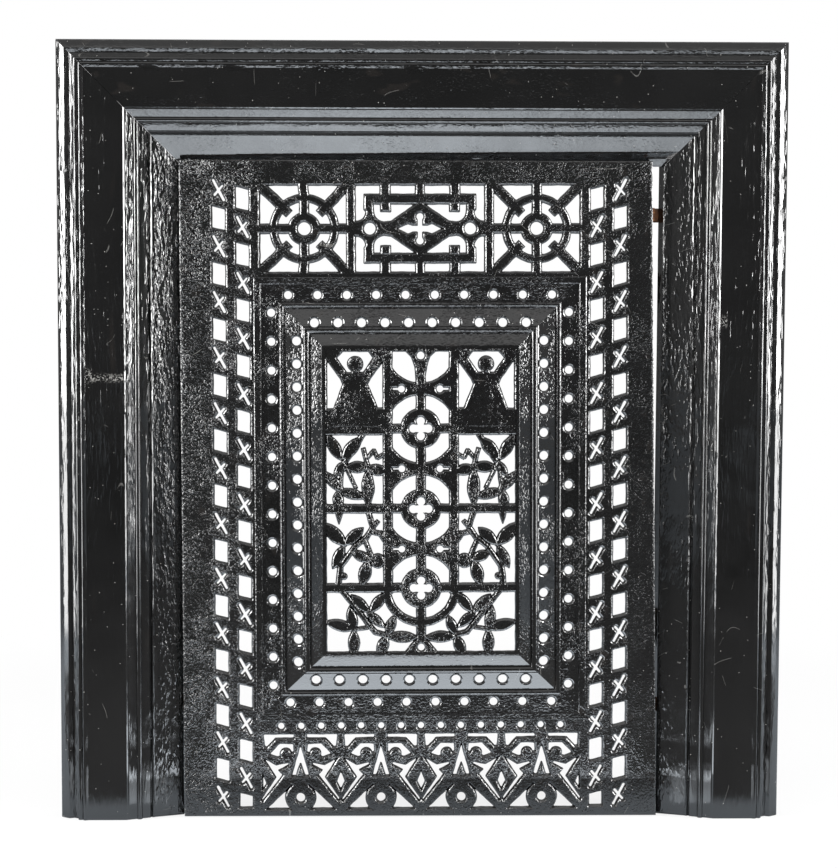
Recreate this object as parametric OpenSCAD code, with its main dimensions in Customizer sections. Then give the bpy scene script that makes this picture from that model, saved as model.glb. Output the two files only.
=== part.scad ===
// Cast iron fireplace: a moulded surround of three castings with a pierced summer cover.
// Frame: +Z up, the front faces -Y, +X to the right seen from the front.
// Origin: on the hearth, midway across the surround and midway in its depth.
// Heights called h are measured forward from the wall plane, towards the viewer.

/* [Surround] */
// Overall width across both jambs
surround_w = 726; // [726:1:740]
// Height of the header's top edge above the hearth
surround_h = 777; // [777:1:790]
// Gap at the mitred joints between header and jambs
mitre_gap = 0.3; // [0.2:0.1:0.6]
// Height of the jamb fixing ears above the hearth
jamb_ear_z = 150; // [130:5:170]
// Distance between the two header fixing ears
header_ear_spacing = 440; // [400:5:480]
// Diameter of the fixing holes in the ears
ear_hole_d = 9; // [7:0.5:10]

/* [Cover] */
// Width of the cover plate at its foot
cover_w = 476.4; // [474:0.2:477]
// How much narrower the plate is at its top, on the right
cover_taper = 6.6; // [0:0.2:7]
// Height of the cover plate's top edge above the hearth
cover_top = 659; // [657:1:661]
// Clearance under the cover plate
cover_foot = 0.5; // [0.5:0.5:2]
// Lean of the cover to the left, in degrees, as it stands
cover_lean = 0.25; // [0:0.05:0.3]
// Thickness of the cover plate
cover_t = 5; // [4:0.5:6]
// Sideways offset of the cover's foot in the opening, as it stands
cover_x = -0.4; // [-0.8:0.1:0]

/* [Fixings] */
// Length of a turn button from its pivot to its tip
button_len = 34; // [28:1:36]
// Width of a turn button
button_w = 14; // [12:1:14]
// Radial clearance of the turn button on its shoulder screw
button_clearance = 0.05; // [0.03:0.01:0.09]
// Width of a rest clip
clip_w = 14; // [10:1:18]
// Thickness of the strap that the rest clips are bent from
clip_t = 3; // [2:0.5:3]

/* [Hidden] */

$fn = 48;

// Depth of the whole assembly, from the wall plane to the panel's front rail
depth = 45;
back_y = depth / 2;

// Section of the surround: s runs inward from the outer edge, h forward from the wall
band_w = 122.5;
fascia_s = 48;
fascia_back_h = 34.6;
lip_back_h = 10.4;

// Fixing ears on the backs of the castings
ear_t = 6;
ear_w = 26;
ear_len = 40;
ear_hole_s = 26;
ear_proud = 2;

// Corner plates, screwed to bosses behind the mitres
plate_leg = 112;
plate_w = 24;
plate_t = 4;
boss_r = 8;
boss_h = 8;
plate_screw_at = [40, 95];
plate_screw_r = 3.9;
plate_hole_r = 4.3;
tapped_r = 4;
plate_front_h = fascia_back_h - boss_h;

// Rest clips, screwed to lugs behind the jambs' bevels
clip_z = [606, 110];
lug_s = 107;
lug_w = 18;
clip_reach_s = [98, 135];
clip_flat_h = lip_back_h - 0.2;
clip_screw_r = 2.9;
clip_tapped_r = 3;

// Cover plate and centre panel
cover_back_h = 23;
cover_front_h = cover_back_h + cover_t;
// Share of the plate's width that lies left of the ornament's centre line
cover_left_share = 0.501;
window_hw = 155.5;
window_v = [109, 533.4];
panel_hw = 165.7;
panel_v = [98.6, 543.8];
lattice_hw = 94.5;
lattice_v = [169.8, 470.4];
lattice_h = [40.2, 44.4];
panel_screw_hw = 160.6;
panel_screw_v = [103.8, 250, 392, 538.6];
panel_screw_r = 1.9;
panel_tapped_r = 2;

// Turn buttons on the back of the cover
pivot_u = 220;
pivot_z = [540, 200];
button_t = 4;
button_back_h = 5;
button_boss_r = 7;
button_boss_back_h = 10.3;
shoulder_r = 3;
washer_t = 1;

// Ornament of the cover plate: u across from its centre, v up from the hearth
ladder_pitch = 55.4;
ladder_outer_u = 200;
ladder_inner_u = 176.5;
ladder_w = 14;
ladder_h = 22;
ladder_slant = 3.5;
frieze_hw = 160;
frieze_v = [548.7, 634.7];
rosette_u = 116.3;
rosette_hw = 43.3;
dot_row_v = 92.3;
dot_row_pitch = 20.15;
cresting_pitch = 81.2;

// ---------- helpers ----------

// Extrudes a shape drawn in the front view (x across, y up) from height h0 to height h1
module slab(h0, h1) {
    translate([0, back_y - h0, 0])
        rotate([90, 0, 0])
            linear_extrude(h1 - h0)
                children();
}

// A round bar along the depth, centred at x, z, from height h0 to height h1
module pin(x, z, r, h0, h1) {
    translate([x, back_y - h0, z])
        rotate([90, 0, 0])
            cylinder(r = r, h = h1 - h0);
}

// Copies a shape to both sides of the centre line
module both() {
    children();
    mirror([1, 0, 0])
        children();
}

// Points of an arc about c, from angle a0 to angle a1
function arc(c, r, a0, a1, n = 6) =
    [for (i = [0:n]) let (a = a0 + (a1 - a0) * i / n) [c[0] + r * cos(a), c[1] + r * sin(a)]];

// A straight bar of width w between two points
module bar(p, q, w) {
    d = [q[0] - p[0], q[1] - p[1]];
    translate(p)
        rotate(atan2(d[1], d[0]))
            translate([0, -w / 2])
                square([norm(d), w]);
}

// A pointed leaf of width w between two points
module leaf(p, q, w) {
    d = [q[0] - p[0], q[1] - p[1]];
    len = norm(d);
    n = 8;
    translate(p)
        rotate(atan2(d[1], d[0]))
            polygon(concat(
                [for (i = [0:n]) [len * i / n, w / 2 * pow(sin(180 * i / n), 0.8)]],
                [for (i = [n - 1:-1:1]) [len * i / n, -w / 2 * pow(sin(180 * i / n), 0.8)]]
            ));
}

// ---------- the surround ----------

// Moulded section of the castings, drawn with s to the right and h downward
module band_section() {
    front = concat(
        [[0, 0], [0, 24.5]],
        arc([6.5, 27], 5.6, 170, 20),
        arc([12.6, 36.6], 6, -84, -4),
        arc([20.9, 37.4], 2.4, 170, 0),
        arc([25.8, 39.2], 2.4, 200, 25),
        [[28.6, 40.4], [67.4, 40.4], [68.6, 39.3], [69.6, 39.3], [70.8, 38], [71.5, 36.8], [77, 36.6]],
        arc([79.6, 35.2], 2.6, 140, 0),
        [[82.4, 33], [83.6, 32.4]],
        arc([85.8, 30.5], 2.5, 130, 0),
        [[88.6, 28.5], [90.8, 28.4], [91.4, 28.8], [band_w, 17]]
    );
    back = [
        [band_w, lip_back_h], [120.5, lip_back_h], [90, 22.5], [84, 26.5], [78, 31], [70, 33],
        [66, fascia_back_h], [30, fascia_back_h], [20, 31.5], [12, 24.5], [6, 20], [6, 0]
    ];
    mirror([0, 1])
        polygon(concat(front, back));
}

// The left jamb's straight length, before its mitre is cut
module jamb_length() {
    translate([-surround_w / 2, back_y, 0])
        linear_extrude(surround_h)
            band_section();
}

// The header's straight length, before its mitres are cut
module header_length() {
    translate([-surround_w / 2, back_y, surround_h])
        rotate([0, 90, 0])
            linear_extrude(surround_w)
                band_section();
}

// A hole for a screw, down the centre of a boss
module boss_at(x, z, r, h0, h1) {
    pin(x, z, r, h0, h1);
}

// Positions of the corner plate screws: along the header's leg, then along the jamb's leg
function header_screw(d) = [-surround_w / 2 + fascia_s + d, surround_h - fascia_s];
function jamb_screw(d) = [-surround_w / 2 + fascia_s, surround_h - fascia_s - d];

module header() {
    cut = mitre_gap / 2;
    color("black")
        difference() {
            union() {
                intersection() {
                    header_length();
                    slab(-1, depth)
                        polygon([
                            [-surround_w / 2 + cut, surround_h + 1], [surround_w / 2 - cut, surround_h + 1],
                            [surround_w / 2 - cut, surround_h],
                            [surround_w / 2 - cut - 2 * band_w, surround_h - 2 * band_w],
                            [-surround_w / 2 + cut + 2 * band_w, surround_h - 2 * band_w],
                            [-surround_w / 2 + cut, surround_h]
                        ]);
                }
                both()
                    slab(0, ear_t)
                        translate([header_ear_spacing / 2 - ear_w / 2, surround_h - ear_len])
                            square([ear_w, ear_len + ear_proud]);
                both()
                    for (d = plate_screw_at)
                        pin(header_screw(d)[0], header_screw(d)[1], boss_r, plate_front_h, fascia_back_h + 1);
            }
            both()
                pin(header_ear_spacing / 2, surround_h - ear_hole_s, ear_hole_d / 2, -1, ear_t + 1);
            both()
                for (d = plate_screw_at)
                    pin(header_screw(d)[0], header_screw(d)[1], tapped_r, plate_front_h - 1, fascia_back_h);
        }
}

// The left jamb, with its ear, the lugs for its rest clips and the bosses for its corner plate
module jamb() {
    cut = mitre_gap / 2;
    x0 = -surround_w / 2;
    color("black")
        difference() {
            union() {
                intersection() {
                    jamb_length();
                    slab(-1, depth)
                        polygon([
                            [x0 - 1, -1], [x0 + band_w + 1, -1],
                            [x0 + band_w + 1, surround_h - band_w - 1 - cut],
                            [x0 - 1, surround_h + 1 - cut]
                        ]);
                }
                slab(0, ear_t)
                    translate([x0 + 1, jamb_ear_z - ear_w / 2])
                        square([ear_len, ear_w]);
                for (z = clip_z)
                    slab(lip_back_h, 19.5)
                        translate([x0 + lug_s - lug_w / 2, z - lug_w / 2])
                            square([lug_w, lug_w]);
                for (d = plate_screw_at)
                    pin(jamb_screw(d)[0], jamb_screw(d)[1], boss_r, plate_front_h, fascia_back_h + 1);
            }
            pin(x0 + ear_hole_s, jamb_ear_z, ear_hole_d / 2, -1, ear_t + 1);
            for (z = clip_z)
                pin(x0 + lug_s, z, clip_tapped_r, lip_back_h - 1, 18.5);
            for (d = plate_screw_at)
                pin(jamb_screw(d)[0], jamb_screw(d)[1], tapped_r, plate_front_h - 1, fascia_back_h);
        }
}

module left_jamb() {
    jamb();
}

module right_jamb() {
    mirror([1, 0, 0])
        jamb();
}

// An L-shaped iron plate behind the left mitre
module corner_plate() {
    corner = [-surround_w / 2 + fascia_s, surround_h - fascia_s];
    color("dimgray")
        difference() {
            slab(plate_front_h - plate_t, plate_front_h)
                union() {
                    translate([corner[0] - plate_w / 2, corner[1] - plate_w / 2])
                        square([plate_leg, plate_w]);
                    translate([corner[0] - plate_w / 2, corner[1] + plate_w / 2 - plate_leg])
                        square([plate_w, plate_leg]);
                }
            for (d = plate_screw_at) {
                pin(header_screw(d)[0], header_screw(d)[1], plate_hole_r, plate_front_h - 9, plate_front_h + 1);
                pin(jamb_screw(d)[0], jamb_screw(d)[1], plate_hole_r, plate_front_h - 9, plate_front_h + 1);
            }
        }
}

module left_corner_plate() {
    corner_plate();
}

module right_corner_plate() {
    mirror([1, 0, 0])
        corner_plate();
}

// A hexagon-headed screw: its head's underside is at height h
module hex_screw(x, z, r, head_r, head_t, h, reach) {
    translate([x, back_y - h + head_t, z])
        rotate([90, 0, 0])
            cylinder(r = head_r, h = head_t, $fn = 6);
    pin(x, z, r, h - 0.5, h + reach);
}

module corner_screws() {
    head_h = plate_front_h - plate_t;
    color("saddlebrown")
        both()
            for (d = plate_screw_at) {
                hex_screw(header_screw(d)[0], header_screw(d)[1], plate_screw_r, 7, 4.5, head_h, 10.5);
                hex_screw(jamb_screw(d)[0], jamb_screw(d)[1], plate_screw_r, 7, 4.5, head_h, 10.5);
            }
}

// A bent strap behind the left jamb: its short leg stands behind the cover's edge
module rest_clip(z) {
    x0 = -surround_w / 2;
    leg_front_h = cover_back_h - 0.2;
    color("sienna")
        difference() {
            union() {
                slab(clip_flat_h - clip_t, clip_flat_h)
                    translate([x0 + clip_reach_s[0], z - clip_w / 2])
                        square([clip_reach_s[1] - clip_reach_s[0], clip_w]);
                slab(clip_flat_h - clip_t, leg_front_h)
                    translate([x0 + clip_reach_s[1] - clip_t, z - clip_w / 2])
                        square([clip_t, clip_w]);
            }
            pin(x0 + lug_s, z, clip_screw_r + 0.4, clip_flat_h - clip_t - 1, clip_flat_h + 1);
        }
}

module upper_left_rest_clip() {
    rest_clip(clip_z[0]);
}

module upper_right_rest_clip() {
    mirror([1, 0, 0])
        rest_clip(clip_z[0]);
}

module lower_left_rest_clip() {
    rest_clip(clip_z[1]);
}

module lower_right_rest_clip() {
    mirror([1, 0, 0])
        rest_clip(clip_z[1]);
}

module rest_clip_screws() {
    color("sienna")
        both()
            for (z = clip_z)
                hex_screw(-surround_w / 2 + lug_s, z, clip_screw_r, 5.5, 3.5, clip_flat_h - clip_t, 10);
}

// ---------- ornament of the cover, in the front view ----------

// One slanted window of a ladder band, lower on the side towards the cover's centre
module ladder_window() {
    polygon([
        [-ladder_w / 2, ladder_h / 2 + ladder_slant / 2], [ladder_w / 2, ladder_h / 2 - ladder_slant / 2],
        [ladder_w / 2, -ladder_h / 2 - ladder_slant / 2], [-ladder_w / 2, -ladder_h / 2 + ladder_slant / 2]
    ]);
}

// One pierced saltire of a ladder band
module ladder_cross() {
    bar([-5.2, 8.4], [5.2, -8.4], 3);
    bar([-4.6, -5.6], [4.6, 5.6], 3);
}

// The left ladder band: two columns, windows and crosses alternating
module ladder_band() {
    for (k = [0:11])
        translate([-ladder_outer_u, 630 - ladder_pitch * k])
            ladder_cross();
    for (k = [0:10]) {
        translate([-ladder_outer_u, 602.3 - ladder_pitch * k])
            ladder_window();
        translate([-ladder_inner_u, 593.5 - ladder_pitch * k])
            ladder_cross();
    }
    intersection() {
        for (k = [0:11])
            translate([-ladder_inner_u, 621.6 - ladder_pitch * k])
                ladder_window();
        translate([-ladder_inner_u - ladder_w, 9.5])
            square([2 * ladder_w, 624.5]);
    }
}

// Holes of one rosette cell: a hub, a ring with four knobs, eight spokes
module rosette_holes() {
    circle(r = 7.2);
    difference() {
        circle(r = 27);
        circle(r = 15.6);
        square([60, 8.6], center = true);
        square([8.6, 60], center = true);
        for (a = [45, 135])
            rotate(a)
                difference() {
                    square([60, 8], center = true);
                    square([43, 9], center = true);
                }
    }
    difference() {
        square(2 * rosette_hw, center = true);
        circle(r = 34);
        square([100, 9], center = true);
        square([9, 100], center = true);
        for (a = [45, 135])
            rotate(a)
                square([130, 9], center = true);
    }
}

// Holes in one quarter of the frieze's centre motif: the quarter above and left of its centre
module strapwork_quarter() {
    polygon(concat(
        [[-64.6, 7.2], [-64.6, 43.2], [-39.5, 43.2], [-39.5, 34], [-55.4, 34], [-55.4, 19]],
        arc([-63.6, 17], 10, 0, -75, 4)
    ));
    polygon([[-29.8, 43.2], [-4.2, 43.2], [-4.2, 34], [-29.8, 34]]);
    difference() {
        polygon(concat(
            [[-46.5, 24.5], [-3.5, 24.5], [-28.5, 7.4], [-36, 6.4]],
            arc([-35.5, 17.4], 11, -110, -180, 4)
        ));
        translate([-39, 17])
            square([9.5, 9]);
    }
}

// Holes of the frieze's centre motif: strapwork round a lozenge with a quatrefoil in it
module strapwork_holes() {
    both() {
        strapwork_quarter();
        mirror([0, 1])
            strapwork_quarter();
        translate([-50, 0])
            circle(r = 6.6);
    }
    polygon([[-23.5, 0], [-12, 5.4], [-7, 3.6], [7, 3.6], [12, 5.4], [23.5, 0], [12, -5.4], [7, -3.6], [-7, -3.6], [-12, -5.4]]);
    square([6, 22], center = true);
    for (v = [-12, 12])
        translate([0, v])
            circle(r = 4.4);
}

module frieze_holes() {
    translate([0, (frieze_v[0] + frieze_v[1]) / 2]) {
        both()
            translate([-rosette_u, 0])
                rosette_holes();
        strapwork_holes();
    }
}

// Holes on the left side of one unit of the cresting, from its centre line
module cresting_half_unit() {
    // bracket under the row of dots
    polygon([[-37.8, 84.2], [-6, 84.2], [-6, 79.8], [-25.2, 79.4], [-33.4, 70.6], [-36.6, 71]]);
    // scroll
    difference() {
        polygon([[-32, 63.6], [-21.2, 74.8], [-6.6, 74.4], [-6.2, 65.6], [-14, 63], [-23, 60.2]]);
        translate([-14.8, 64])
            circle(r = 5.4);
    }
    // gap between the curved bar and the kite
    polygon([
        [-38.6, 61], [-24.5, 52.6], [-11.5, 55.5], [-11.2, 52.5], [-19.5, 48], [-21.6, 47],
        [-17.3, 42.4], [-38.6, 15], [-40.4, 17.6], [-25.2, 39.8]
    ]);
    // opening beside the ring
    difference() {
        polygon([[-35, 7.8], [-8, 33.6], [-8, 7.8]]);
        translate([0, 19.3])
            circle(r = 15);
    }
}

// Holes of one unit of the cresting
module cresting_unit() {
    both()
        cresting_half_unit();
    translate([0, 19.3])
        circle(r = 5.2);
    // pointed slit with a solid wedge in its foot
    difference() {
        polygon([[0, 75], [-9.4, 41.4], [9.4, 41.4]]);
        polygon([[0, 54], [-4.4, 41], [4.4, 41]]);
    }
}

// The lower frieze: four units with pierced kites between them
module cresting_holes() {
    for (i = [-1.5:1:1.5])
        translate([i * cresting_pitch, 0])
            cresting_unit();
    for (i = [-1:1])
        translate([i * cresting_pitch, 0])
            polygon([[0, 47.6], [-4.6, 35.6], [0, 26], [4.6, 35.6]]);
    both()
        polygon([[-160.3, 46], [-155.6, 33.8], [-159.4, 27.5], [-160.3, 27.5]]);
}

module dot_row_holes() {
    for (i = [-7:7])
        translate([i * dot_row_pitch, dot_row_v])
            circle(r = 4);
}

// ---------- ornament of the centre panel ----------

// Openings round a robed figure with raised arms, in the top side cell
module figure_holes() {
    difference() {
        polygon([[-11.2, 83.9], [13.1, 83.9], [18.8, 76.3], [8.9, 61.6], [-8, 61.6], [-18.2, 76.3]]);
        translate([0.6, 70.2])
            circle(r = 7.4);
        translate([-3, 60])
            square([7.2, 8]);
    }
    polygon([[-27.9, 75.4], [-14.1, 55.8], [-11.6, 50], [-20.7, 25.7], [-27.9, 25.7]]);
    polygon([[28.3, 73.4], [15.2, 55.8], [12.6, 50], [22.4, 26.4], [28.9, 26.4]]);
}

// Leaves and stems of the upper foliage cell, 70 high
module upper_foliage() {
    leaf([-28, 71], [-13, 45], 11);
    leaf([-13, 46], [6, 68], 12);
    bar([8, 71], [-10, 43], 4.6);
    bar([8, 57], [13.6, 36], 3.6);
    bar([11, 46], [19, 55], 3.2);
    bar([18.6, 55.5], [22.2, 47], 3);
    bar([22, 47], [30, 52], 3.2);
    leaf([-10, 38.4], [15, 38.2], 11);
    leaf([12, 38], [32, 33], 11);
    leaf([12.8, 37], [12.8, -1], 12);
    leaf([-10, 44], [-20.5, 29], 8);
    bar([-12, 43], [-14.6, 17], 2.8);
    bar([-11, 42], [1, 17], 3);
    leaf([-32, 34], [-11, 13], 10);
    leaf([-17, 15], [11, 8], 10);
    leaf([-17, 15], [-17, -4], 10);
}

// Leaves and stems of the middle foliage cell, 72 high
module middle_foliage() {
    leaf([-32, 62], [-9, 39], 13);
    leaf([-11, 40], [8, 57], 11);
    polygon([[-20, 73], [-12, 73], [-16.2, 61]]);
    bar([13, 73], [17.8, 57], 4.6);
    bar([17.8, 58], [10, 46], 4.6);
    bar([11, 47.5], [-1, 38], 4.6);
    bar([0, 39], [-15, 18], 4.6);
    bar([-14.6, 20], [-17, -1], 5);
    bar([17, 57], [23, 64], 3.6);
    bar([17, 53], [25, 51], 4.6);
    bar([24, 52.6], [31, 42], 4.6);
    bar([9, 45.5], [17, 27], 4);
    translate([-15.6, 20.8])
        circle(r = 3);
    leaf([-4, 33], [16, 24], 10);
    translate([22, 24])
        circle(r = 7);
    leaf([13, 25], [6, -1], 12);
    leaf([-11, 40], [-22.5, 16.5], 10);
    translate([-11.6, 8.5])
        circle(r = 3);
}

// Leaves and stems of the lower foliage cell, 62 high
module lower_foliage() {
    bar([-14, 64], [11, 32], 4.6);
    bar([10, 33], [20, 21], 4.6);
    bar([19, 21.5], [30, 18.5], 4.6);
    leaf([-6, 47.5], [-1, 22], 10);
    leaf([-30, 32], [0, 24.5], 11);
    leaf([-1.8, 24], [-1.8, -3], 11);
    bar([-2, 24], [12, 26], 3.2);
    leaf([14, 41], [-4, 59], 9.5);
    leaf([14, 41], [30, 61], 10);
    leaf([11, 42], [29, 26], 9);
    leaf([31, 18], [39, 38], 9.5);
    leaf([30, 17], [62, 16], 11);
    leaf([31, 18], [23, -3], 11);
    for (p = [[31, 18], [14, 41], [-2, 24.2]])
        translate(p)
            circle(r = 2.6);
}

// Centre line of the left side cells
cell_u = -65.4;
// Feet of the four rows of the lattice's side cells
row_v = [387.5, 316.9, 237.5, 168.5];

// One ring of the lattice's centre column: its holes are left open
module ring_holes() {
    for (a = [0:90:270])
        rotate(a)
            translate([7.4, 0])
                circle(r = 5);
    square([12, 9], center = true);
}

// Solid parts of the lattice on the left of its centre line
module lattice_left() {
    ring_v = [393.5, 313.1, 233.9];
    // vertical bar between the side cells and the centre column
    translate([-37.2, 229])
        square([8.6, 246]);
    // cross bars
    for (v = [393.5, 313.7, 234.4])
        translate([-95, v - 4.2])
            square([90, 8.4]);
    // foliage rows, and the figure with its solid foot
    translate([cell_u, row_v[0]]) {
        difference() {
            translate([-30, 0])
                square([60, 90]);
            figure_holes();
        }
    }
    translate([cell_u, row_v[1]])
        upper_foliage();
    translate([cell_u, row_v[2]])
        middle_foliage();
    translate([cell_u, row_v[3]])
        lower_foliage();
    // webs between the rings, pierced by keyholes
    for (v = [432.8, 353.3, 273.1])
        difference() {
            intersection() {
                translate([-33, v - 22])
                    square([34, 44]);
                difference() {
                    square([200, 1200], center = true);
                    translate([0, v + 39.8])
                        circle(r = 34.2);
                    translate([0, v - 39.8])
                        circle(r = 34.2);
                }
            }
            translate([-19, v])
                circle(r = 4.2);
            translate([-29, v - 1.6])
                square([10, 3.2]);
        }
    // rings
    for (v = ring_v)
        translate([0, v])
            circle(r = 19.5);
    // lower arc round the third ring
    difference() {
        translate([0, ring_v[2]])
            circle(r = 38);
        translate([0, ring_v[2]])
            circle(r = 30.6);
        translate([-50, ring_v[2] + 1])
            square([100, 60]);
    }
    // top web between the two petals
    polygon([[-13, 477], [0, 477], [0, 433], [-3.6, 437], [-5.6, 455], [-9, 465], [-17, 473]]);
    // foot with its flared sides
    polygon([[0, 184], [-6.6, 181], [-19, 166], [0, 166]]);
}

module lattice_holes() {
    difference() {
        translate([-lattice_hw, lattice_v[0]])
            square([2 * lattice_hw, lattice_v[1] - lattice_v[0]]);
        both()
            lattice_left();
        translate([-4.3, 160])
            square([8.6, 320]);
    }
    for (v = [393.5, 313.1, 233.9])
        translate([0, v])
            ring_holes();
    translate([0, 465.8])
        circle(r = 4.6);
    translate([0, 174.4])
        circle(r = 4.2);
}

// ---------- the cover ----------

module cover_holes() {
    both()
        ladder_band();
    frieze_holes();
    dot_row_holes();
    cresting_holes();
    translate([-window_hw, window_v[0]])
        square([2 * window_hw, window_v[1] - window_v[0]]);
}

// Where a point of the cover stands, given across from its middle and up from its foot
function cover_point(u, v) = [
    cover_x + u * cos(cover_lean) - v * sin(cover_lean),
    u * sin(cover_lean) + v * cos(cover_lean)
];

// Stands a piece of the cover in the opening
module cover_place() {
    translate([cover_x, 0, 0])
        rotate([0, -cover_lean, 0])
            children();
}

// Outline of the plate: its sides lean, its top and foot are level
module cover_outline() {
    left = -cover_left_share * cover_w;
    intersection() {
        polygon([
            [left, -10], [left + cover_w, -10],
            [left + cover_w - cover_taper, cover_top + 10], [left, cover_top + 10]
        ]);
        rotate(-cover_lean)
            translate([-cover_w, cover_foot])
                square([2 * cover_w, cover_top - cover_foot]);
    }
}

// Positions of the panel screws on the left side and along the top and bottom
panel_screw_at = concat(
    [for (v = panel_screw_v) [-panel_screw_hw, v]],
    [for (v = panel_screw_v) [panel_screw_hw, v]]
);

module cover_plate() {
    color("black")
        cover_place()
            difference() {
                union() {
                    slab(cover_back_h, cover_front_h)
                        difference() {
                            cover_outline();
                            cover_holes();
                        }
                    both()
                        for (z = pivot_z)
                            pin(pivot_u, z, button_boss_r, button_boss_back_h, cover_back_h + 1);
                }
                both()
                    for (z = pivot_z)
                        pin(pivot_u, z, shoulder_r, button_boss_back_h - 1, cover_back_h);
                for (p = panel_screw_at)
                    pin(p[0], p[1], panel_tapped_r, cover_back_h - 1, cover_front_h + 1);
            }
}

// Section of the panel's moulding: t runs inward from the panel's edge, h downward
module panel_section() {
    front = concat(
        [[0, 31], [0.8, 31.6], [5.4, 31.6], [6.2, 30.8], [6.6, 30], [24.8, 30]],
        arc([27.9, 29.6], 3, 165, 25),
        [[31.6, 30.8], [48.2, 38.4]],
        arc([52.4, 38], 3.6, 165, 25),
        [[56.7, 39.4], [67.2, 44.6], [68.4, depth], [71.2, depth]]
    );
    back = [
        [71.2, 40], [66.5, 39], [57, 34.4], [48, 33.4], [32, 26], [12.5, 26],
        [11.5, cover_front_h + 0.05], [0, cover_front_h + 0.05]
    ];
    mirror([0, 1])
        polygon(concat(front, back));
}

// One mitred side of the panel's moulding: its outer edge lies on z = 0, seen from the front
module panel_side(len) {
    w = 71.2;
    intersection() {
        translate([-len / 2, back_y, 0])
            rotate([0, -90, 180])
                mirror([0, 1, 0])
                    linear_extrude(len)
                        panel_section();
        slab(0, depth + 1)
            polygon([[-len / 2, 0], [len / 2, 0], [len / 2 - w - 1, w + 1], [-len / 2 + w + 1, w + 1]]);
    }
}

module panel_frame() {
    w = 2 * panel_hw;
    h = panel_v[1] - panel_v[0];
    mid = (panel_v[0] + panel_v[1]) / 2;
    translate([0, 0, panel_v[0]])
        panel_side(w);
    translate([0, 0, panel_v[1]])
        rotate([0, 180, 0])
            panel_side(w);
    translate([-panel_hw, 0, mid])
        rotate([0, 90, 0])
            panel_side(h);
    translate([panel_hw, 0, mid])
        rotate([0, -90, 0])
            panel_side(h);
}

// Round holes along a rectangle of half-width hw, from v0 to v1, with n across and m up each side
module dot_frame(hw, v0, v1, n, m, end_u, end_v) {
    for (i = [0:n - 1])
        for (v = [v0, v1])
            pin(-end_u + 2 * end_u * i / (n - 1), v, 4, 20, depth + 1);
    for (j = [0:m - 1])
        both()
            pin(hw, v0 + end_v + (v1 - v0 - 2 * end_v) * j / (m - 1), 4, 20, depth + 1);
}

module centre_panel() {
    color("black")
        cover_place()
            difference() {
                union() {
                    panel_frame();
                    slab(lattice_h[0], lattice_h[1])
                        difference() {
                            translate([-lattice_hw - 1.5, panel_v[0] + 69.7])
                                square([2 * lattice_hw + 3, panel_v[1] - panel_v[0] - 139.4]);
                            lattice_holes();
                        }
                }
                dot_frame(148.4, 116.7, 526, 10, 14, 131.5, 17.5);
                dot_frame(123.1, 140.6, 498.4, 10, 15, 105.3, 18);
                for (p = panel_screw_at)
                    pin(p[0], p[1], panel_tapped_r, cover_front_h - 1, 31);
            }
}

module panel_screws() {
    color("saddlebrown")
        cover_place()
            for (p = panel_screw_at) {
                pin(p[0], p[1], 4.4, cover_back_h - 2.5, cover_back_h - 0.05);
                pin(p[0], p[1], panel_screw_r, cover_back_h - 0.5, 30.7);
            }
}

// ---------- turn buttons on the back of the cover ----------

// A flat bar that hangs from its pivot, with round ends
module turn_button(side, v) {
    h1 = button_back_h + button_t;
    x = cover_point(side * pivot_u, v)[0];
    z = cover_point(side * pivot_u, v)[1];
    color("dimgray")
        difference() {
            union() {
                slab(button_back_h, h1)
                    translate([x - button_w / 2, z - button_len + button_w / 2])
                        square([button_w, button_len - button_w / 2]);
                pin(x, z, button_w / 2, button_back_h, h1);
                pin(x, z - button_len + button_w / 2, button_w / 2, button_back_h, h1);
            }
            pin(x, z, shoulder_r + button_clearance, button_back_h - 1, h1 + 1);
        }
}

module upper_left_turn_button() {
    turn_button(-1, pivot_z[0]);
}

module upper_right_turn_button() {
    turn_button(1, pivot_z[0]);
}

module lower_left_turn_button() {
    turn_button(-1, pivot_z[1]);
}

module lower_right_turn_button() {
    turn_button(1, pivot_z[1]);
}

module turn_button_screws() {
    head_h = button_back_h - 0.2;
    color("saddlebrown")
        cover_place()
            both()
                for (z = pivot_z) {
                    pin(pivot_u, z, 6, head_h - 3, head_h);
                    pin(pivot_u, z, shoulder_r, head_h - 0.5, cover_back_h - 1);
                }
}

module turn_button_washers() {
    h0 = button_back_h + button_t + 0.1;
    color("saddlebrown")
        cover_place()
            both()
                for (z = pivot_z)
                    difference() {
                        pin(pivot_u, z, 6.5, h0, h0 + washer_t);
                        pin(pivot_u, z, shoulder_r + 0.1, h0 - 1, h0 + washer_t + 1);
                    }
}

header();
left_jamb();
right_jamb();
left_corner_plate();
right_corner_plate();
corner_screws();
upper_left_rest_clip();
upper_right_rest_clip();
lower_left_rest_clip();
lower_right_rest_clip();
rest_clip_screws();
cover_plate();
centre_panel();
panel_screws();
upper_left_turn_button();
upper_right_turn_button();
lower_left_turn_button();
lower_right_turn_button();
turn_button_screws();
turn_button_washers();
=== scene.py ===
"""Cast iron fireplace: the detailed castings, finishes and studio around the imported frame."""

import math

import bpy
import numpy as np
from bpy.props import FloatProperty, FloatVectorProperty, PointerProperty
from bpy.types import Operator, Panel, PropertyGroup
from mathutils import Matrix, Vector
from mathutils.geometry import tessellate_polygon


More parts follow.
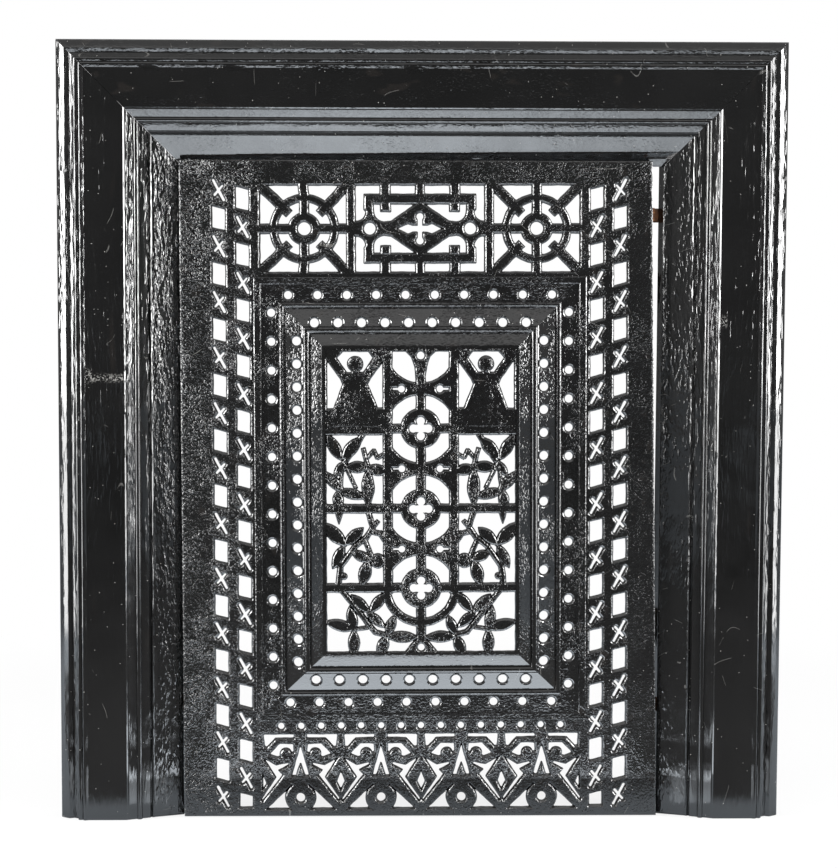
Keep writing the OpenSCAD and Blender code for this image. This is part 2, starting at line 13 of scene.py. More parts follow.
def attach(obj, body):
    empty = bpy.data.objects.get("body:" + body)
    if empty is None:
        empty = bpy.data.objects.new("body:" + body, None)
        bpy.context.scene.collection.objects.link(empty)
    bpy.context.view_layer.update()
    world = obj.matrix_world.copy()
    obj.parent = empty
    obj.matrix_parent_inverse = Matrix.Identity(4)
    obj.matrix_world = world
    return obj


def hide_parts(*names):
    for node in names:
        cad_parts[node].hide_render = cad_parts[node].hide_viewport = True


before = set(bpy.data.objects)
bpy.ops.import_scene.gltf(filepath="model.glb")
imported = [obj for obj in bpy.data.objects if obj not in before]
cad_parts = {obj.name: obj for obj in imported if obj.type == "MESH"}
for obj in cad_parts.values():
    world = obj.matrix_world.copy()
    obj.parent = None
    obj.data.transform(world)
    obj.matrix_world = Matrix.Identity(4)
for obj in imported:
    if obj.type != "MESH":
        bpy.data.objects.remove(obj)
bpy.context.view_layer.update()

bl_info = {
    "name": "Cast iron fireplace",
    "version": (1, 0, 0),
    "blender": (4, 5, 0),
    "location": "3D View > Sidebar > Fireplace",
    "description": "Builds a moulded iron fire surround with a pierced summer cover",
    "category": "Add Mesh",
}

MM = 0.001
BACK_Y = 22.5  # the wall plane, in mm behind the origin

# Levels of the distance field at a pierced hole, in mm into the metal:
# the edge at the back, the foot of the bevelled rim and the start of the flat face
PLATE_RIM = (-0.9, 0.3, 1.4)
LATTICE_RIM = (-0.9, 0.3, 1.2)
DOT_RIM = (-0.9, 0.3, 1.3)
# How far the face drops at such a hole's edge in all, and how much of that is the bevel, in mm
PLATE_DROP = (4.3, 0.76)
LATTICE_DROP = (3.6, 0.62)
DOT_DROP = (4.4, 0.68)
# Mesh steps of the moulding and the lattice as shares of the plate's, and the share of a step
# within which a point is moved onto a rim's line
MOULDING_STEP, LATTICE_STEP = 1.2, 0.82
SNAP = 0.3


# ---------- sizes and colours ----------

class SurroundSizes(PropertyGroup):
    """Sizes of the header and the jambs"""
    width: FloatProperty(
        name="Width", description="Overall width across both jambs",
        default=0.726, min=0.7, max=0.76, unit="LENGTH")
    height: FloatProperty(
        name="Height", description="Height of the header's top edge above the hearth",
        default=0.777, min=0.75, max=0.8, unit="LENGTH")
    mitre_gap: FloatProperty(
        name="Mitre gap", description="Gap between the header and each jamb",
        default=0.0003, min=0.0, max=0.001, unit="LENGTH", precision=5)
    unevenness: FloatProperty(
        name="Unevenness", description="How far the sand-cast surface wanders",
        default=0.00022, min=0.0, max=0.001, unit="LENGTH", precision=5)


class CoverSizes(PropertyGroup):
    """Sizes of the summer cover"""
    width: FloatProperty(
        name="Plate width", description="Width of the cover plate at its foot",
        default=0.4764, min=0.474, max=0.477, unit="LENGTH")
    taper: FloatProperty(
        name="Taper", description="How much narrower the plate is at its top, on the right",
        default=0.0066, min=0.0, max=0.007, unit="LENGTH", precision=4)
    top: FloatProperty(
        name="Plate top", description="Height of the plate's top edge above the hearth",
        default=0.659, min=0.65, max=0.665, unit="LENGTH")
    thickness: FloatProperty(
        name="Plate thickness", description="Thickness of the cover plate",
        default=0.005, min=0.003, max=0.006, unit="LENGTH")
    lean: FloatProperty(
        name="Lean", description="Lean of the cover to the left, as it stands",
        default=math.radians(0.25), min=0.0, max=math.radians(0.5), unit="ROTATION")
    mesh_step: FloatProperty(
        name="Mesh step", description="Distance between neighbouring points of the castings",
        default=0.00105, min=0.0008, max=0.003, unit="LENGTH", precision=5)


class Finishes(PropertyGroup):
    """Colours and grain of the castings and the steel"""
    enamel: FloatVectorProperty(
        name="Enamel", description="Colour of the black enamel",
        default=(0.005, 0.005, 0.005), min=0.0, max=1.0, size=3, subtype="COLOR")
    grain: FloatProperty(
        name="Grain", description="Strength of the cast grain under the enamel",
        default=1.0, min=0.0, max=3.0, subtype="FACTOR")
    rust: FloatVectorProperty(
        name="Rust", description="Colour of the rusty steel",
        default=(0.19, 0.085, 0.04), min=0.0, max=1.0, size=3, subtype="COLOR")
    iron: FloatVectorProperty(
        name="Blacked iron", description="Colour of the plain iron behind",
        default=(0.045, 0.043, 0.042), min=0.0, max=1.0, size=3, subtype="COLOR")


class Studio(PropertyGroup):
    """Brightness and colour of the studio"""
    front_lamps: FloatProperty(
        name="Front lamps", description="Brightness of the low lamps in front of the hearth",
        default=3.0, min=0.0, max=20.0)
    side_lamps: FloatProperty(
        name="Side lamps", description="Brightness of the lamps and strips at both sides",
        default=14.0, min=0.0, max=60.0)
    room: FloatProperty(
        name="Room light", description="Strength of the light from straight ahead",
        default=0.07, min=0.0, max=1.0, subtype="FACTOR")
    floor: FloatVectorProperty(
        name="Floor", description="Colour of the floor",
        default=(0.9, 0.9, 0.9), min=0.0, max=1.0, size=3, subtype="COLOR")


# ---------- distances in the front view, in mm, negative inside the shape ----------

def disc(x, y, centre, radius):
    """Distance to a circle: the distance from its centre less its radius."""
    return np.hypot(x - centre[0], y - centre[1]) - radius


def block(x, y, centre, half):
    """Distance to an upright rectangle from its centre and half sizes."""
    a, b = np.abs(x - centre[0]) - half[0], np.abs(y - centre[1]) - half[1]
    return np.hypot(np.maximum(a, 0), np.maximum(b, 0)) + np.minimum(np.maximum(a, b), 0)


def turn(x, y, degrees):
    """The same points seen from a frame turned by that angle."""
    c, s = math.cos(math.radians(degrees)), math.sin(math.radians(degrees))
    return c * x + s * y, -s * x + c * y


def bar(x, y, p, q, width):
    """Distance to a straight bar between two points, as a turned rectangle."""
    dx, dy = q[0] - p[0], q[1] - p[1]
    length = math.hypot(dx, dy)
    a, b = turn(x - (p[0] + q[0]) / 2, y - (p[1] + q[1]) / 2, math.degrees(math.atan2(dy, dx)))
    return block(a, b, (0, 0), (length / 2, width / 2))


def polygon(x, y, points):
    """Distance to a polygon: the nearest edge's distance, signed by how many edges lie above."""
    best = np.full(x.shape, 1e9)
    inside = np.zeros(x.shape, bool)
    for (ax, ay), (bx, by) in zip(points, points[1:] + points[:1]):
        ex, ey = bx - ax, by - ay
        wx, wy = x - ax, y - ay
        t = np.clip((wx * ex + wy * ey) / (ex * ex + ey * ey), 0, 1)
        best = np.minimum(best, (wx - t * ex) ** 2 + (wy - t * ey) ** 2)
        if ay != by:
            inside ^= ((ay > y) != (by > y)) & (x < ex * (y - ay) / ey + ax)
    return np.sqrt(best) * np.where(inside, -1, 1)


def arc(c, r, a0, a1, n=6):
    """Points of an arc about c, from angle a0 to angle a1, in degrees."""
    angles = np.radians(np.linspace(a0, a1, n + 1))
    return [(c[0] + r * math.cos(a), c[1] + r * math.sin(a)) for a in angles]


def leaf(x, y, p, q, width):
    """Distance to a pointed leaf: half its width is a power of a sine along its length."""
    dx, dy = q[0] - p[0], q[1] - p[1]
    length = math.hypot(dx, dy)
    a, b = turn(x - p[0], y - p[1], math.degrees(math.atan2(dy, dx)))
    edge = [(length * i / 8, width / 2 * math.sin(math.pi * i / 8) ** 0.8) for i in range(9)]
    return polygon(a, b, edge + [(s, -w) for s, w in edge[-2:0:-1]])


def any_of(*distances):
    """Distance to a union: the smallest of the distances."""
    return np.minimum.reduce(distances)


def but_not(first, *others):
    """Distance to a shape with others cut out of it."""
    return np.maximum.reduce([first] + [-d for d in others])


# ---------- the cover plate's holes: across from its centre and up from the hearth, in mm ----------

# The ladder bands: windows and crosses in turn, on two lines down each side
LADDER_COUNT = 12
LADDER_PITCH = 55.4
LADDER_OUTER = -200.0
LADDER_INNER = -176.5
LADDER_W = 14.0
LADDER_H = 22.0
LADDER_SLANT = 3.5
# Heights of the topmost cross and window of each line, and where the inner line ends
OUTER_CROSS, OUTER_WINDOW = 630, 602.3
INNER_CROSS, INNER_WINDOW = 593.5, 621.6
INNER_FOOT, INNER_HEAD = 9.5, 634
# The frieze's middle height, its rosette's place and half size, and the row of dots under the panel
FRIEZE_V = 591.7
ROSETTE_U = -116.3
ROSETTE_HALF = 43.3
DOT_V = 92.3
DOT_PITCH = 20.15
CREST_PITCH = 81.2
# The opening behind the centre panel: its middle height and half sizes
WINDOW_V = 321.2
WINDOW_HALF = (156.4, 213.1)
# Lines of the plate's grid beyond which it is drawn out to the real edges, and its outermost lines
SIDE_LINE, SIDE_EDGE = 209, 235
FOOT_LINE, FOOT_EDGE = 3.6, 0.5
HEAD_LINE, HEAD_EDGE = 644.5, 659


def ladder_window(x, y):
    """A slanted window of a ladder band, lower towards the cover's centre."""
    w, h, s = LADDER_W / 2, LADDER_H / 2, LADDER_SLANT / 2
    return polygon(x, y, [(-w, h + s), (w, h - s), (w, -h - s), (-w, -h + s)])


def inner_window(x, y, middle):
    """A window of the inner line, cut off level where the line ends."""
    height = y + middle
    return np.maximum(ladder_window(x, y), np.maximum(INNER_FOOT - height, height - INNER_HEAD))


def ladder_cross(x, y):
    """A pierced saltire of a ladder band."""
    return any_of(
        bar(x, y, (-5.2, 10), (5.2, -9.8), 0.4) - 1.95,
        bar(x, y, (-3.9, -4.5), (3.9, 4.5), 0.4) - 1.8)


def rosette(x, y):
    """Holes of a rosette cell: a hub, a ring with four knobs, and eight spokes to the corners."""
    x1, y1 = turn(x, y, 45)
    knobs = but_not(any_of(block(x1, y1, (0, 0), (30, 4)), block(x1, y1, (0, 0), (4, 30))),
                    block(x1, y1, (0, 0), (21.5, 21.5)))
    ring = but_not(disc(x, y, (0, 0), 27), disc(x, y, (0, 0), 15.6),
                   block(x, y, (0, 0), (30, 4.3)), block(x, y, (0, 0), (4.3, 30)), knobs)
    field = but_not(block(x, y, (0, 0), (ROSETTE_HALF, ROSETTE_HALF)), disc(x, y, (0, 0), 34),
                    block(x, y, (0, 0), (50, 4.5)), block(x, y, (0, 0), (4.5, 50)),
                    block(x1, y1, (0, 0), (65, 4.5)), block(x1, y1, (0, 0), (4.5, 65)))
    return any_of(disc(x, y, (0, 0), 7.2), ring, field)


def strapwork(x, y):
    """Holes of the frieze's middle: strapwork round a lozenge with a quatrefoil in it."""
    y = np.abs(y)
    hook = [(-64.6, 7.2), (-64.6, 43.2), (-39.5, 43.2), (-39.5, 34), (-55.4, 34), (-55.4, 19)]
    sail = [(-46.5, 24.5), (-3.5, 24.5), (-28.5, 7.4), (-36, 6.4)]
    lozenge = [(-23.5, 0), (-12, 5.4), (-7, 3.6), (7, 3.6), (12, 5.4), (23.5, 0),
               (12, -5.4), (7, -3.6), (-7, -3.6), (-12, -5.4)]
    return any_of(
        polygon(x, y, hook + arc((-63.6, 17), 10, 0, -75, 5)),
        polygon(x, y, [(-29.8, 43.2), (-4.2, 43.2), (-4.2, 34), (-29.8, 34)]),
        but_not(polygon(x, y, sail + arc((-35.5, 17.4), 11, -110, -180, 5)),
                block(x, y, (-34.25, 21.5), (4.75, 4.5))),
        disc(x, y, (-50, 0), 6.6),
        polygon(x, y, lozenge),
        block(x, y, (0, 0), (3, 11)),
        disc(x, y, (0, 12), 4.4))


def cresting_half(x, y):
    """Holes on the left of a cresting unit's centre line."""
    return any_of(
        polygon(x, y, [(-37.8, 84.2), (-6, 84.2), (-6, 79.8), (-25.2, 79.4), (-33.4, 70.6),
                       (-36.6, 71)]),
        but_not(polygon(x, y, [(-32, 63.6), (-21.2, 74.8), (-6.6, 74.4), (-6.2, 65.6), (-14, 63),
                               (-23, 60.2)]),
                disc(x, y, (-14.8, 64), 5.4)),
        polygon(x, y, [(-38.6, 61), (-24.5, 52.6), (-11.5, 55.5), (-11.2, 52.5), (-19.5, 48),
                       (-21.6, 47), (-17.3, 42.4), (-38.6, 15), (-40.4, 17.6), (-25.2, 39.8)]),
        but_not(polygon(x, y, [(-35, 7.8), (-8, 33.6), (-8, 7.8)]), disc(x, y, (0, 19.3), 15)))


def cresting_unit(x, y):
    """Holes of one unit of the cresting: a ring, scrolls, brackets and a pointed slit."""
    return any_of(
        cresting_half(-np.abs(x), y),
        disc(x, y, (0, 19.3), 5.2),
        but_not(polygon(x, y, [(0, 75), (-9.4, 41.4), (9.4, 41.4)]),
                polygon(x, y, [(0, 54), (-4.4, 41), (4.4, 41)])))


class Field:
    """Distances on a grid of points: how deep each point lies in the metal, in mm."""

    def __init__(self, across, up, start):
        self.across, self.up = across, up
        self.x, self.y = np.meshgrid(across, up)
        self.d = np.full(self.x.shape, float(start))

    def near(self, centre, half, margin=4.0):
        """The part of the grid round a centre, and its points measured from that centre."""
        (cx, cy), (hx, hy) = centre, half
        i0, i1 = np.searchsorted(self.across, (cx - hx - margin, cx + hx + margin))
        j0, j1 = np.searchsorted(self.up, (cy - hy - margin, cy + hy + margin))
        part = np.s_[j0:j1, i0:i1]
        return part, self.x[part] - centre[0], self.y[part] - centre[1]

    def cut(self, shape, centre, half):
        """Cuts a hole: the metal is no deeper than the distance to it."""
        part, x, y = self.near(centre, half)
        if x.size:
            self.d[part] = np.minimum(self.d[part], shape(x, y))


def even_steps(start, end, step):
    """Equal steps from start to end, none longer than the given step."""
    return np.linspace(start, end, max(2, int(math.ceil((end - start) / step)) + 1))


def cover_field(step):
    """Depth in the metal of the left half of the cover plate, with all its holes."""
    across = np.concatenate([
        [-SIDE_EDGE, -234.4, -233.4, -231, -225, -219, -214, -210.4], even_steps(-SIDE_LINE, -167, step),
        [-165.6], even_steps(-164.2, 0, step)])
    up = np.concatenate([
        [FOOT_EDGE, 1.1, 2.1], even_steps(FOOT_LINE, 643, step),
        [HEAD_LINE, 648.5, 654, 656.6, 658, 658.4, HEAD_EDGE]])
    field = Field(across, up, 20)
    for k in range(LADDER_COUNT):
        v = -LADDER_PITCH * k
        field.cut(ladder_cross, (LADDER_OUTER, OUTER_CROSS + v), (8, 11))
        if k < LADDER_COUNT - 1:
            field.cut(ladder_window, (LADDER_OUTER, OUTER_WINDOW + v), (8, 13))
            field.cut(ladder_cross, (LADDER_INNER, INNER_CROSS + v), (8, 11))
        middle = INNER_WINDOW + v
        field.cut(lambda x, y, at=middle: inner_window(x, y, at), (LADDER_INNER, middle), (8, 13))
    field.cut(rosette, (ROSETTE_U, FRIEZE_V), (44, 44))
    field.cut(strapwork, (0, FRIEZE_V), (66, 45))
    for i in range(-7, 1):
        field.cut(lambda x, y: disc(x, y, (0, 0), 4.0), (DOT_PITCH * i, DOT_V), (5, 5))
    for i in (-1.5, -0.5):
        field.cut(cresting_unit, (CREST_PITCH * i, 0), (42, 86))
    for i in (-1, 0):
        field.cut(lambda x, y: polygon(x, y, [(0, 47.6), (-4.6, 35.6), (0, 26), (4.6, 35.6)]),
                  (CREST_PITCH * i, 0), (6, 50))
    field.cut(lambda x, y: polygon(x, y, [(-160.3, 46), (-155.6, 33.8), (-159.4, 27.5), (-160.3, 27.5)]),
              (0, 0), (162, 48))
    field.d = np.minimum(field.d, block(field.x, field.y, (0, WINDOW_V), WINDOW_HALF))
    return field


# ---------- the lattice in the centre panel ----------

# Heights of the rings, the cross bars and the cells' feet, and the left cells' middle, in mm
RING_V = (393.5, 313.1, 233.9)
BAR_V = (393.5, 313.7, 234.4)
ROW_V = (387.5, 316.9, 237.5, 168.5)
CELL_U = -65.4
# Heights of the lattice's face and back before the wall plane
LATTICE_FACE, LATTICE_BACK = 44.4, 40.2

# The foliage of each row below the figures: ends and width of its leaves and stems, and its knobs'
# centres and radii
LEAVES = {
    1: [((-28, 71), (-13, 45), 11), ((-13, 46), (6, 68), 12), ((-10, 38.4), (15, 38.2), 11),
        ((12, 38), (32, 33), 11), ((12.8, 37), (12.8, -1), 12), ((-10, 44), (-20.5, 29), 8),
        ((-32, 34), (-11, 13), 10), ((-17, 15), (11, 8), 10), ((-17, 15), (-17, -4), 10)],
    2: [((-32, 62), (-9, 39), 13), ((-11, 40), (8, 57), 11), ((-4, 33), (16, 24), 10),
        ((13, 25), (6, -1), 12), ((-11, 40), (-22.5, 16.5), 10)],
    3: [((-6, 47.5), (-1, 22), 10), ((-30, 32), (0, 24.5), 11), ((-1.8, 24), (-1.8, -3), 11),
        ((14, 41), (-4, 59), 9.5), ((14, 41), (30, 61), 10), ((11, 42), (29, 26), 9),
        ((31, 18), (39, 38), 9.5), ((30, 17), (62, 16), 11), ((31, 18), (23, -3), 11)],
}
STEMS = {
    1: [((8, 71), (-10, 43), 4.6), ((8, 57), (13.6, 36), 3.6), ((11, 46), (19, 55), 3.2),
        ((18.6, 55.5), (22.2, 47), 3), ((22, 47), (30, 52), 3.2), ((-12, 43), (-14.6, 17), 2.8),
        ((-11, 42), (1, 17), 3)],
    2: [((13, 73), (17.8, 57), 4.6), ((17.8, 58), (10, 46), 4.6), ((11, 47.5), (-1, 38), 4.6),
        ((0, 39), (-15, 18), 4.6), ((-14.6, 20), (-17, -1), 5), ((17, 57), (23, 64), 3.6),
        ((17, 53), (25, 51), 4.6), ((24, 52.6), (31, 42), 4.6), ((9, 45.5), (17, 27), 4)],
    3: [((-14, 64), (11, 32), 4.6), ((10, 33), (20, 21), 4.6), ((19, 21.5), (30, 18.5), 4.6),
        ((-2, 24), (12, 26), 3.2)],
}
KNOBS = {
    1: [],
    2: [((-15.6, 20.8), 3), ((22, 24), 7), ((-11.6, 8.5), 3)],
    3: [((31, 18), 2.6), ((14, 41), 2.6), ((-2, 24.2), 2.6)],
}


def figure_openings(x, y):
    """Openings round a robed figure with raised arms."""
    halo = but_not(
        polygon(x, y, [(-11.2, 83.9), (13.1, 83.9), (18.8, 76.3), (8.9, 61.6), (-8, 61.6),
                       (-18.2, 76.3)]),
        disc(x, y, (0.6, 70.2), 7.4), block(x, y, (0.6, 64), (3.6, 4)))
    return any_of(
        halo,
        polygon(x, y, [(-27.9, 75.4), (-14.1, 55.8), (-11.6, 50), (-20.7, 25.7), (-27.9, 25.7)]),
        polygon(x, y, [(28.3, 73.4), (15.2, 55.8), (12.6, 50), (22.4, 26.4), (28.9, 26.4)]))


def ring_openings(x, y):
    """A quatrefoil of four round holes joined by a short bar."""
    return any_of(disc(np.abs(x), y, (7.4, 0), 5), disc(x, np.abs(y), (0, 7.4), 5),
                  block(x, y, (0, 0), (6, 4.5)))


def lattice_field(step):
    """Depth in the metal of the left half of the panel's lattice."""
    across = np.concatenate([[-96.0], even_steps(-95, 0, step)])
    up = np.concatenate([[168.4], even_steps(169.2, 471.2, step), [472.6, 474]])
    field = Field(across, up, -20)
    x, y = field.x, field.y
    border = block(x, y, (0, 320.1), (94.5, 150.3))
    # Beyond the opening's edge the depth grows four times as fast, so that the rim is over before
    # the grid ends under the moulding
    field.d = np.maximum(field.d, np.where(border > 0, 4 * border, border))

    def grow(distance):
        """Adds metal: a point is at least as deep as it lies in the new shape."""
        field.d = np.maximum(field.d, -distance)

    grow(block(x, y, (-32.9, 352), (4.3, 123)))
    grow(block(x, y, (0, 320), (4.3, 160)))
    for v in BAR_V:
        grow(block(x, y, (-52, v), (48, 4.2)))
    figure = but_not(block(x, y, (CELL_U, 434), (34, 46.5)),
                     figure_openings(x - CELL_U, y - ROW_V[0]))
    grow(figure)
    for row in (1, 2, 3):
        a, b = x - CELL_U, y - ROW_V[row]
        for p, q, w in LEAVES[row]:
            grow(leaf(a, b, p, q, w))
        for p, q, w in STEMS[row]:
            grow(bar(a, b, p, q, w))
        for c, r in KNOBS[row]:
            grow(disc(a, b, c, r))
    grow(polygon(x - CELL_U, y - ROW_V[2], [(-20, 74), (-12, 74), (-16.2, 61)]))
    for v in (432.8, 353.3, 273.1):
        web = but_not(block(x, y, (-15, v), (19, 22)), disc(x, y, (0, v + 39.8), 34.2),
                      disc(x, y, (0, v - 39.8), 34.2), disc(x, y, (-19, v), 4.2),
                      block(x, y, (-24, v), (5, 1.6)))
        grow(web)
    for v in RING_V:
        grow(disc(x, y, (0, v), 19.5))
    grow(but_not(disc(x, y, (0, RING_V[2]), 38), disc(x, y, (0, RING_V[2]), 30.6),
                 block(x, y, (0, RING_V[2] + 31), (50, 30))))
    grow(polygon(x, y, [(-13, 477), (4, 477), (4, 433), (-3.6, 437), (-5.6, 455), (-9, 465),
                        (-17, 473)]))
    grow(polygon(x, y, [(4, 184), (-6.6, 181), (-19, 166), (4, 166)]))
    for v in RING_V:
        field.cut(ring_openings, (0, v), (13, 13))
    field.cut(lambda a, b: disc(a, b, (0, 0), 4.6), (0, 465.8), (5, 5))
    field.cut(lambda a, b: disc(a, b, (0, 0), 4.2), (0, 174.4), (5, 5))
    return field


# ---------- meshes ----------

# How far a hole's edge strays from its drawn line, in mm
RAGGED = 0.11
# Edges that turn by more than this stay sharp
SHARP_ANGLE = math.radians(24)


def mirrored(field):
    """The whole grid from its left half: the points, the distances and their slopes."""
    across = np.concatenate([field.across, -field.across[-2::-1]])
    depth = np.concatenate([field.d, field.d[:, -2::-1]], axis=1)
    x, y = np.meshgrid(across, field.up)
    depth = depth + RAGGED * (np.sin(x / 1.9 + 1.3) * np.cos(y / 2.3 + x / 7)
                              + np.sin(x / 3.7 + y / 2.9))
    gy, gx = np.gradient(depth, field.up, across)
    return x, y, depth, gx, gy


def snap(points, depth, slope, levels, reach):
    """Moves the points that lie almost on a level onto it, along the slope of the distances."""
    steep = (slope ** 2).sum(1)
    for level in levels:
        near = (np.abs(depth - level) < reach) & (steep > 0.5)
        move = ((level - depth) / np.maximum(steep, 0.5))[:, None] * slope
        points = np.where(near[:, None], points + move, points)
        depth = np.where(near, level, depth)
    return points, depth


def grid_triangles(rows, columns):
    """Two triangles for each cell of a grid; the diagonal turns from cell to cell."""
    j, i = np.meshgrid(np.arange(rows - 1), np.arange(columns - 1), indexing="ij")
    a = (j * columns + i).ravel()
    b, c, d = a + 1, a + columns + 1, a + columns
    even = ((i + j) % 2 == 0).ravel()[:, None]
    first = np.where(even, np.stack([a, b, c], 1), np.stack([a, b, d], 1))
    second = np.where(even, np.stack([a, c, d], 1), np.stack([b, c, d], 1))
    return np.concatenate([first, second])


def split(points, depth, triangles, tags, level):
    """Cuts every triangle that a level crosses, with shared new points on the level."""
    side = np.sign(np.where(np.abs(depth - level) < 1e-6, 0, depth - level)).astype(int)
    s = side[triangles]
    mixed = (s.max(1) > 0) & (s.min(1) < 0)
    whole, whole_tags = triangles[~mixed], tags[~mixed]
    t, s, tags = triangles[mixed], s[mixed], tags[mixed]

    def turned(rows, first):
        """The same triangles, each listed from its own first corner."""
        order = (first[:, None] + np.arange(3)) % 3
        return np.take_along_axis(rows, order, 1)

    has_zero = (s == 0).any(1)
    z = turned(t[has_zero], np.argmax(s[has_zero] == 0, 1))
    lone = np.argmax(s[~has_zero] == -s[~has_zero].sum(1)[:, None], 1)
    q = turned(t[~has_zero], lone)
    edges = np.concatenate([z[:, [1, 2]], q[:, [0, 1]], q[:, [0, 2]]])
    edges = np.sort(edges, 1)
    count = len(points)
    keys, found = np.unique(edges[:, 0].astype(np.int64) * count + edges[:, 1], return_inverse=True)
    a, b = keys // count, keys % count
    f = ((level - depth[a]) / (depth[b] - depth[a]))[:, None]
    points = np.concatenate([points, points[a] * (1 - f) + points[b] * f])
    depth = np.concatenate([depth, np.full(len(keys), float(level))])
    found = found.ravel() + count
    cz, c1, c2 = np.split(found, [len(z), len(z) + len(q)])
    new = np.concatenate([
        np.stack([z[:, 0], z[:, 1], cz], 1), np.stack([z[:, 0], cz, z[:, 2]], 1),
        np.stack([q[:, 0], c1, c2], 1), np.stack([c1, q[:, 1], c2], 1),
        np.stack([q[:, 1], q[:, 2], c2], 1)])
    tz, tq = tags[has_zero], tags[~has_zero]
    return (points, depth, np.concatenate([whole, new]),
            np.concatenate([whole_tags, tz, tz, tq, tq, tq]))


def pierce(points, depth, triangles, tags, rim):
    """Removes the holes and cuts the rim's lines. The sheet behind has only the first of these
    lines, the edge of the metal; the face has them all."""
    keep = depth[triangles].max(1) > rim[0]
    points, depth, sheet, sheet_tags = split(points, depth, triangles[keep], tags[keep], rim[0])
    keep = depth[sheet].min(1) > rim[0] - 1e-6
    sheet, sheet_tags = sheet[keep], sheet_tags[keep]
    face, face_tags = sheet, sheet_tags
    for level in rim[1:]:
        points, depth, face, face_tags = split(points, depth, face, face_tags, level)
    return points, depth, face, face_tags, sheet, sheet_tags


def open_edges(triangles, count):
    """Directed edges that only one triangle has."""
    e = np.concatenate([triangles[:, [0, 1]], triangles[:, [1, 2]], triangles[:, [2, 0]]])
    forward = e[:, 0].astype(np.int64) * count + e[:, 1]
    backward = e[:, 1].astype(np.int64) * count + e[:, 0]
    return e[~np.isin(forward, backward)]


def shell(front, back, face, sheet):
    """A closed shell: a face, the sheet behind it turned round, and a wall along the open edges.
    Where a rim's line cuts an open edge in the face but not in the sheet, a thin triangle closes
    the gap."""
    count = len(front)
    edges, own = open_edges(sheet, count), open_edges(face, count)
    a, b = edges[:, 0], edges[:, 1]
    walls = np.concatenate([np.stack([b, a, a + count], 1), np.stack([b, a + count, b + count], 1)])
    keys, own_keys = edges @ (count, 1), own @ (count, 1)
    uncut, halves = edges[~np.isin(keys, own_keys)], own[~np.isin(own_keys, keys)]
    halves = halves[np.argsort(halves[:, 0])]
    between = halves[np.searchsorted(halves[:, 0], uncut[:, 0]), 1]
    gaps = np.column_stack([uncut, between])
    triangles = np.concatenate([face, sheet[:, ::-1] + count, walls, gaps])
    return compact(np.concatenate([front, back]), triangles)


def compact(points, triangles):
    """Only the points that the triangles use."""
    used, index = np.unique(triangles, return_inverse=True)
    return points[used], index.reshape(triangles.shape)


def merged(parts):
    """Several shells as one list of points and one of triangles."""
    offsets = np.cumsum([0] + [len(p) for p, _ in parts[:-1]])
    return (np.concatenate([p for p, _ in parts]),
            np.concatenate([t + o for (_, t), o in zip(parts, offsets)]))


def outward(points, triangles):
    """The same shell with its faces outwards: its volume, summed over its triangles, is positive."""
    a, b, c = (points[triangles[:, i]] for i in range(3))
    volume = np.einsum("ij,ij->i", a, np.cross(b, c)).sum()
    return points, triangles if volume > 0 else triangles[:, ::-1]


def make_piece(name, points, triangles, finish, body, node, grain=None):
    """A mesh object of its own that stands for a node: points in mm, triangles, and how rough each
    point is cast, from 0 up; 1 where no grain is given."""
    mesh = bpy.data.meshes.new(name)
    mesh.vertices.add(len(points))
    mesh.vertices.foreach_set("co", (points * MM).astype(np.float32).ravel())
    mesh.loops.add(triangles.size)
    mesh.loops.foreach_set("vertex_index", triangles.astype(np.int32).ravel())
    mesh.polygons.add(len(triangles))
    mesh.polygons.foreach_set("loop_start", np.arange(0, triangles.size, 3, dtype=np.int32))
    mesh.polygons.foreach_set("use_smooth", np.ones(len(triangles), bool))
    mesh.update(calc_edges=True)
    if mesh.validate():
        raise RuntimeError(f"{name} had faces that are not valid")
    mesh.set_sharp_from_angle(angle=SHARP_ANGLE)
    grain = np.ones(len(points)) if grain is None else grain
    rough = mesh.attributes.new("roughcast", "FLOAT", "POINT")
    rough.data.foreach_set("value", grain.astype(np.float32))
    mesh.materials.append(finish_of(finish))
    piece = bpy.data.objects.new(name, mesh)
    bpy.context.scene.collection.objects.link(piece)
    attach(piece, body)
    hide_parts(node)


# ---------- where the cover stands ----------

# How far off the middle the cover stands, and the share of its plate that lies left of its centre
COVER_X = -0.4
PLATE_LEFT_SHARE = 0.501
# Height of the plate's back before the wall plane, and where its taper starts and how long it is
PLATE_BACK = 23.0
TAPER_FOOT, TAPER_RUN = -10, 679
# How wide and how deep the plate's outer edge is rounded
EDGE_WIDE, EDGE_DEEP = 1.8, 0.7
# How far the left rosette sits to the right of its place, its half size and where the shift fades
ROSETTE_SHIFT, ROSETTE_EDGE, ROSETTE_FADE = 1.2, 43, 9
# Where the plate is divided into its four pieces: the bands' inner side, and the heights below
# which the cresting and above which the frieze lies
BAND_SIDE, CRESTING_TOP, FRIEZE_FOOT = 164.6, 104, 540
# The bosses on its back that the turn buttons pivot on: their places across and up, and the
# heights of their foot and free end before the wall plane
PIVOT_U, PIVOT_V = 220.0, (540.0, 200.0)
PIVOT_FOOT, PIVOT_END = 23.6, 10.3


def stand(u, v, h):
    """Points of the cover, from across, up and forward, as x, y, z in mm."""
    lean = bpy.context.scene.fireplace_cover.lean
    c, s = math.cos(lean), math.sin(lean)
    return np.stack([COVER_X + u * c - v * s, BACK_Y - h, u * s + v * c], 1)


def wander(a, b, amount):
    """Slow unevenness of a sand-cast face: a sum of a few long waves across and up."""
    return amount * (np.sin(a / 31.0 + 0.7) * np.cos(b / 44.0 + 0.3)
                     + 0.6 * np.sin(a / 17.0 + b / 23.0 + 1.9) + 0.4 * np.sin(b / 11.0 - a / 29.0))


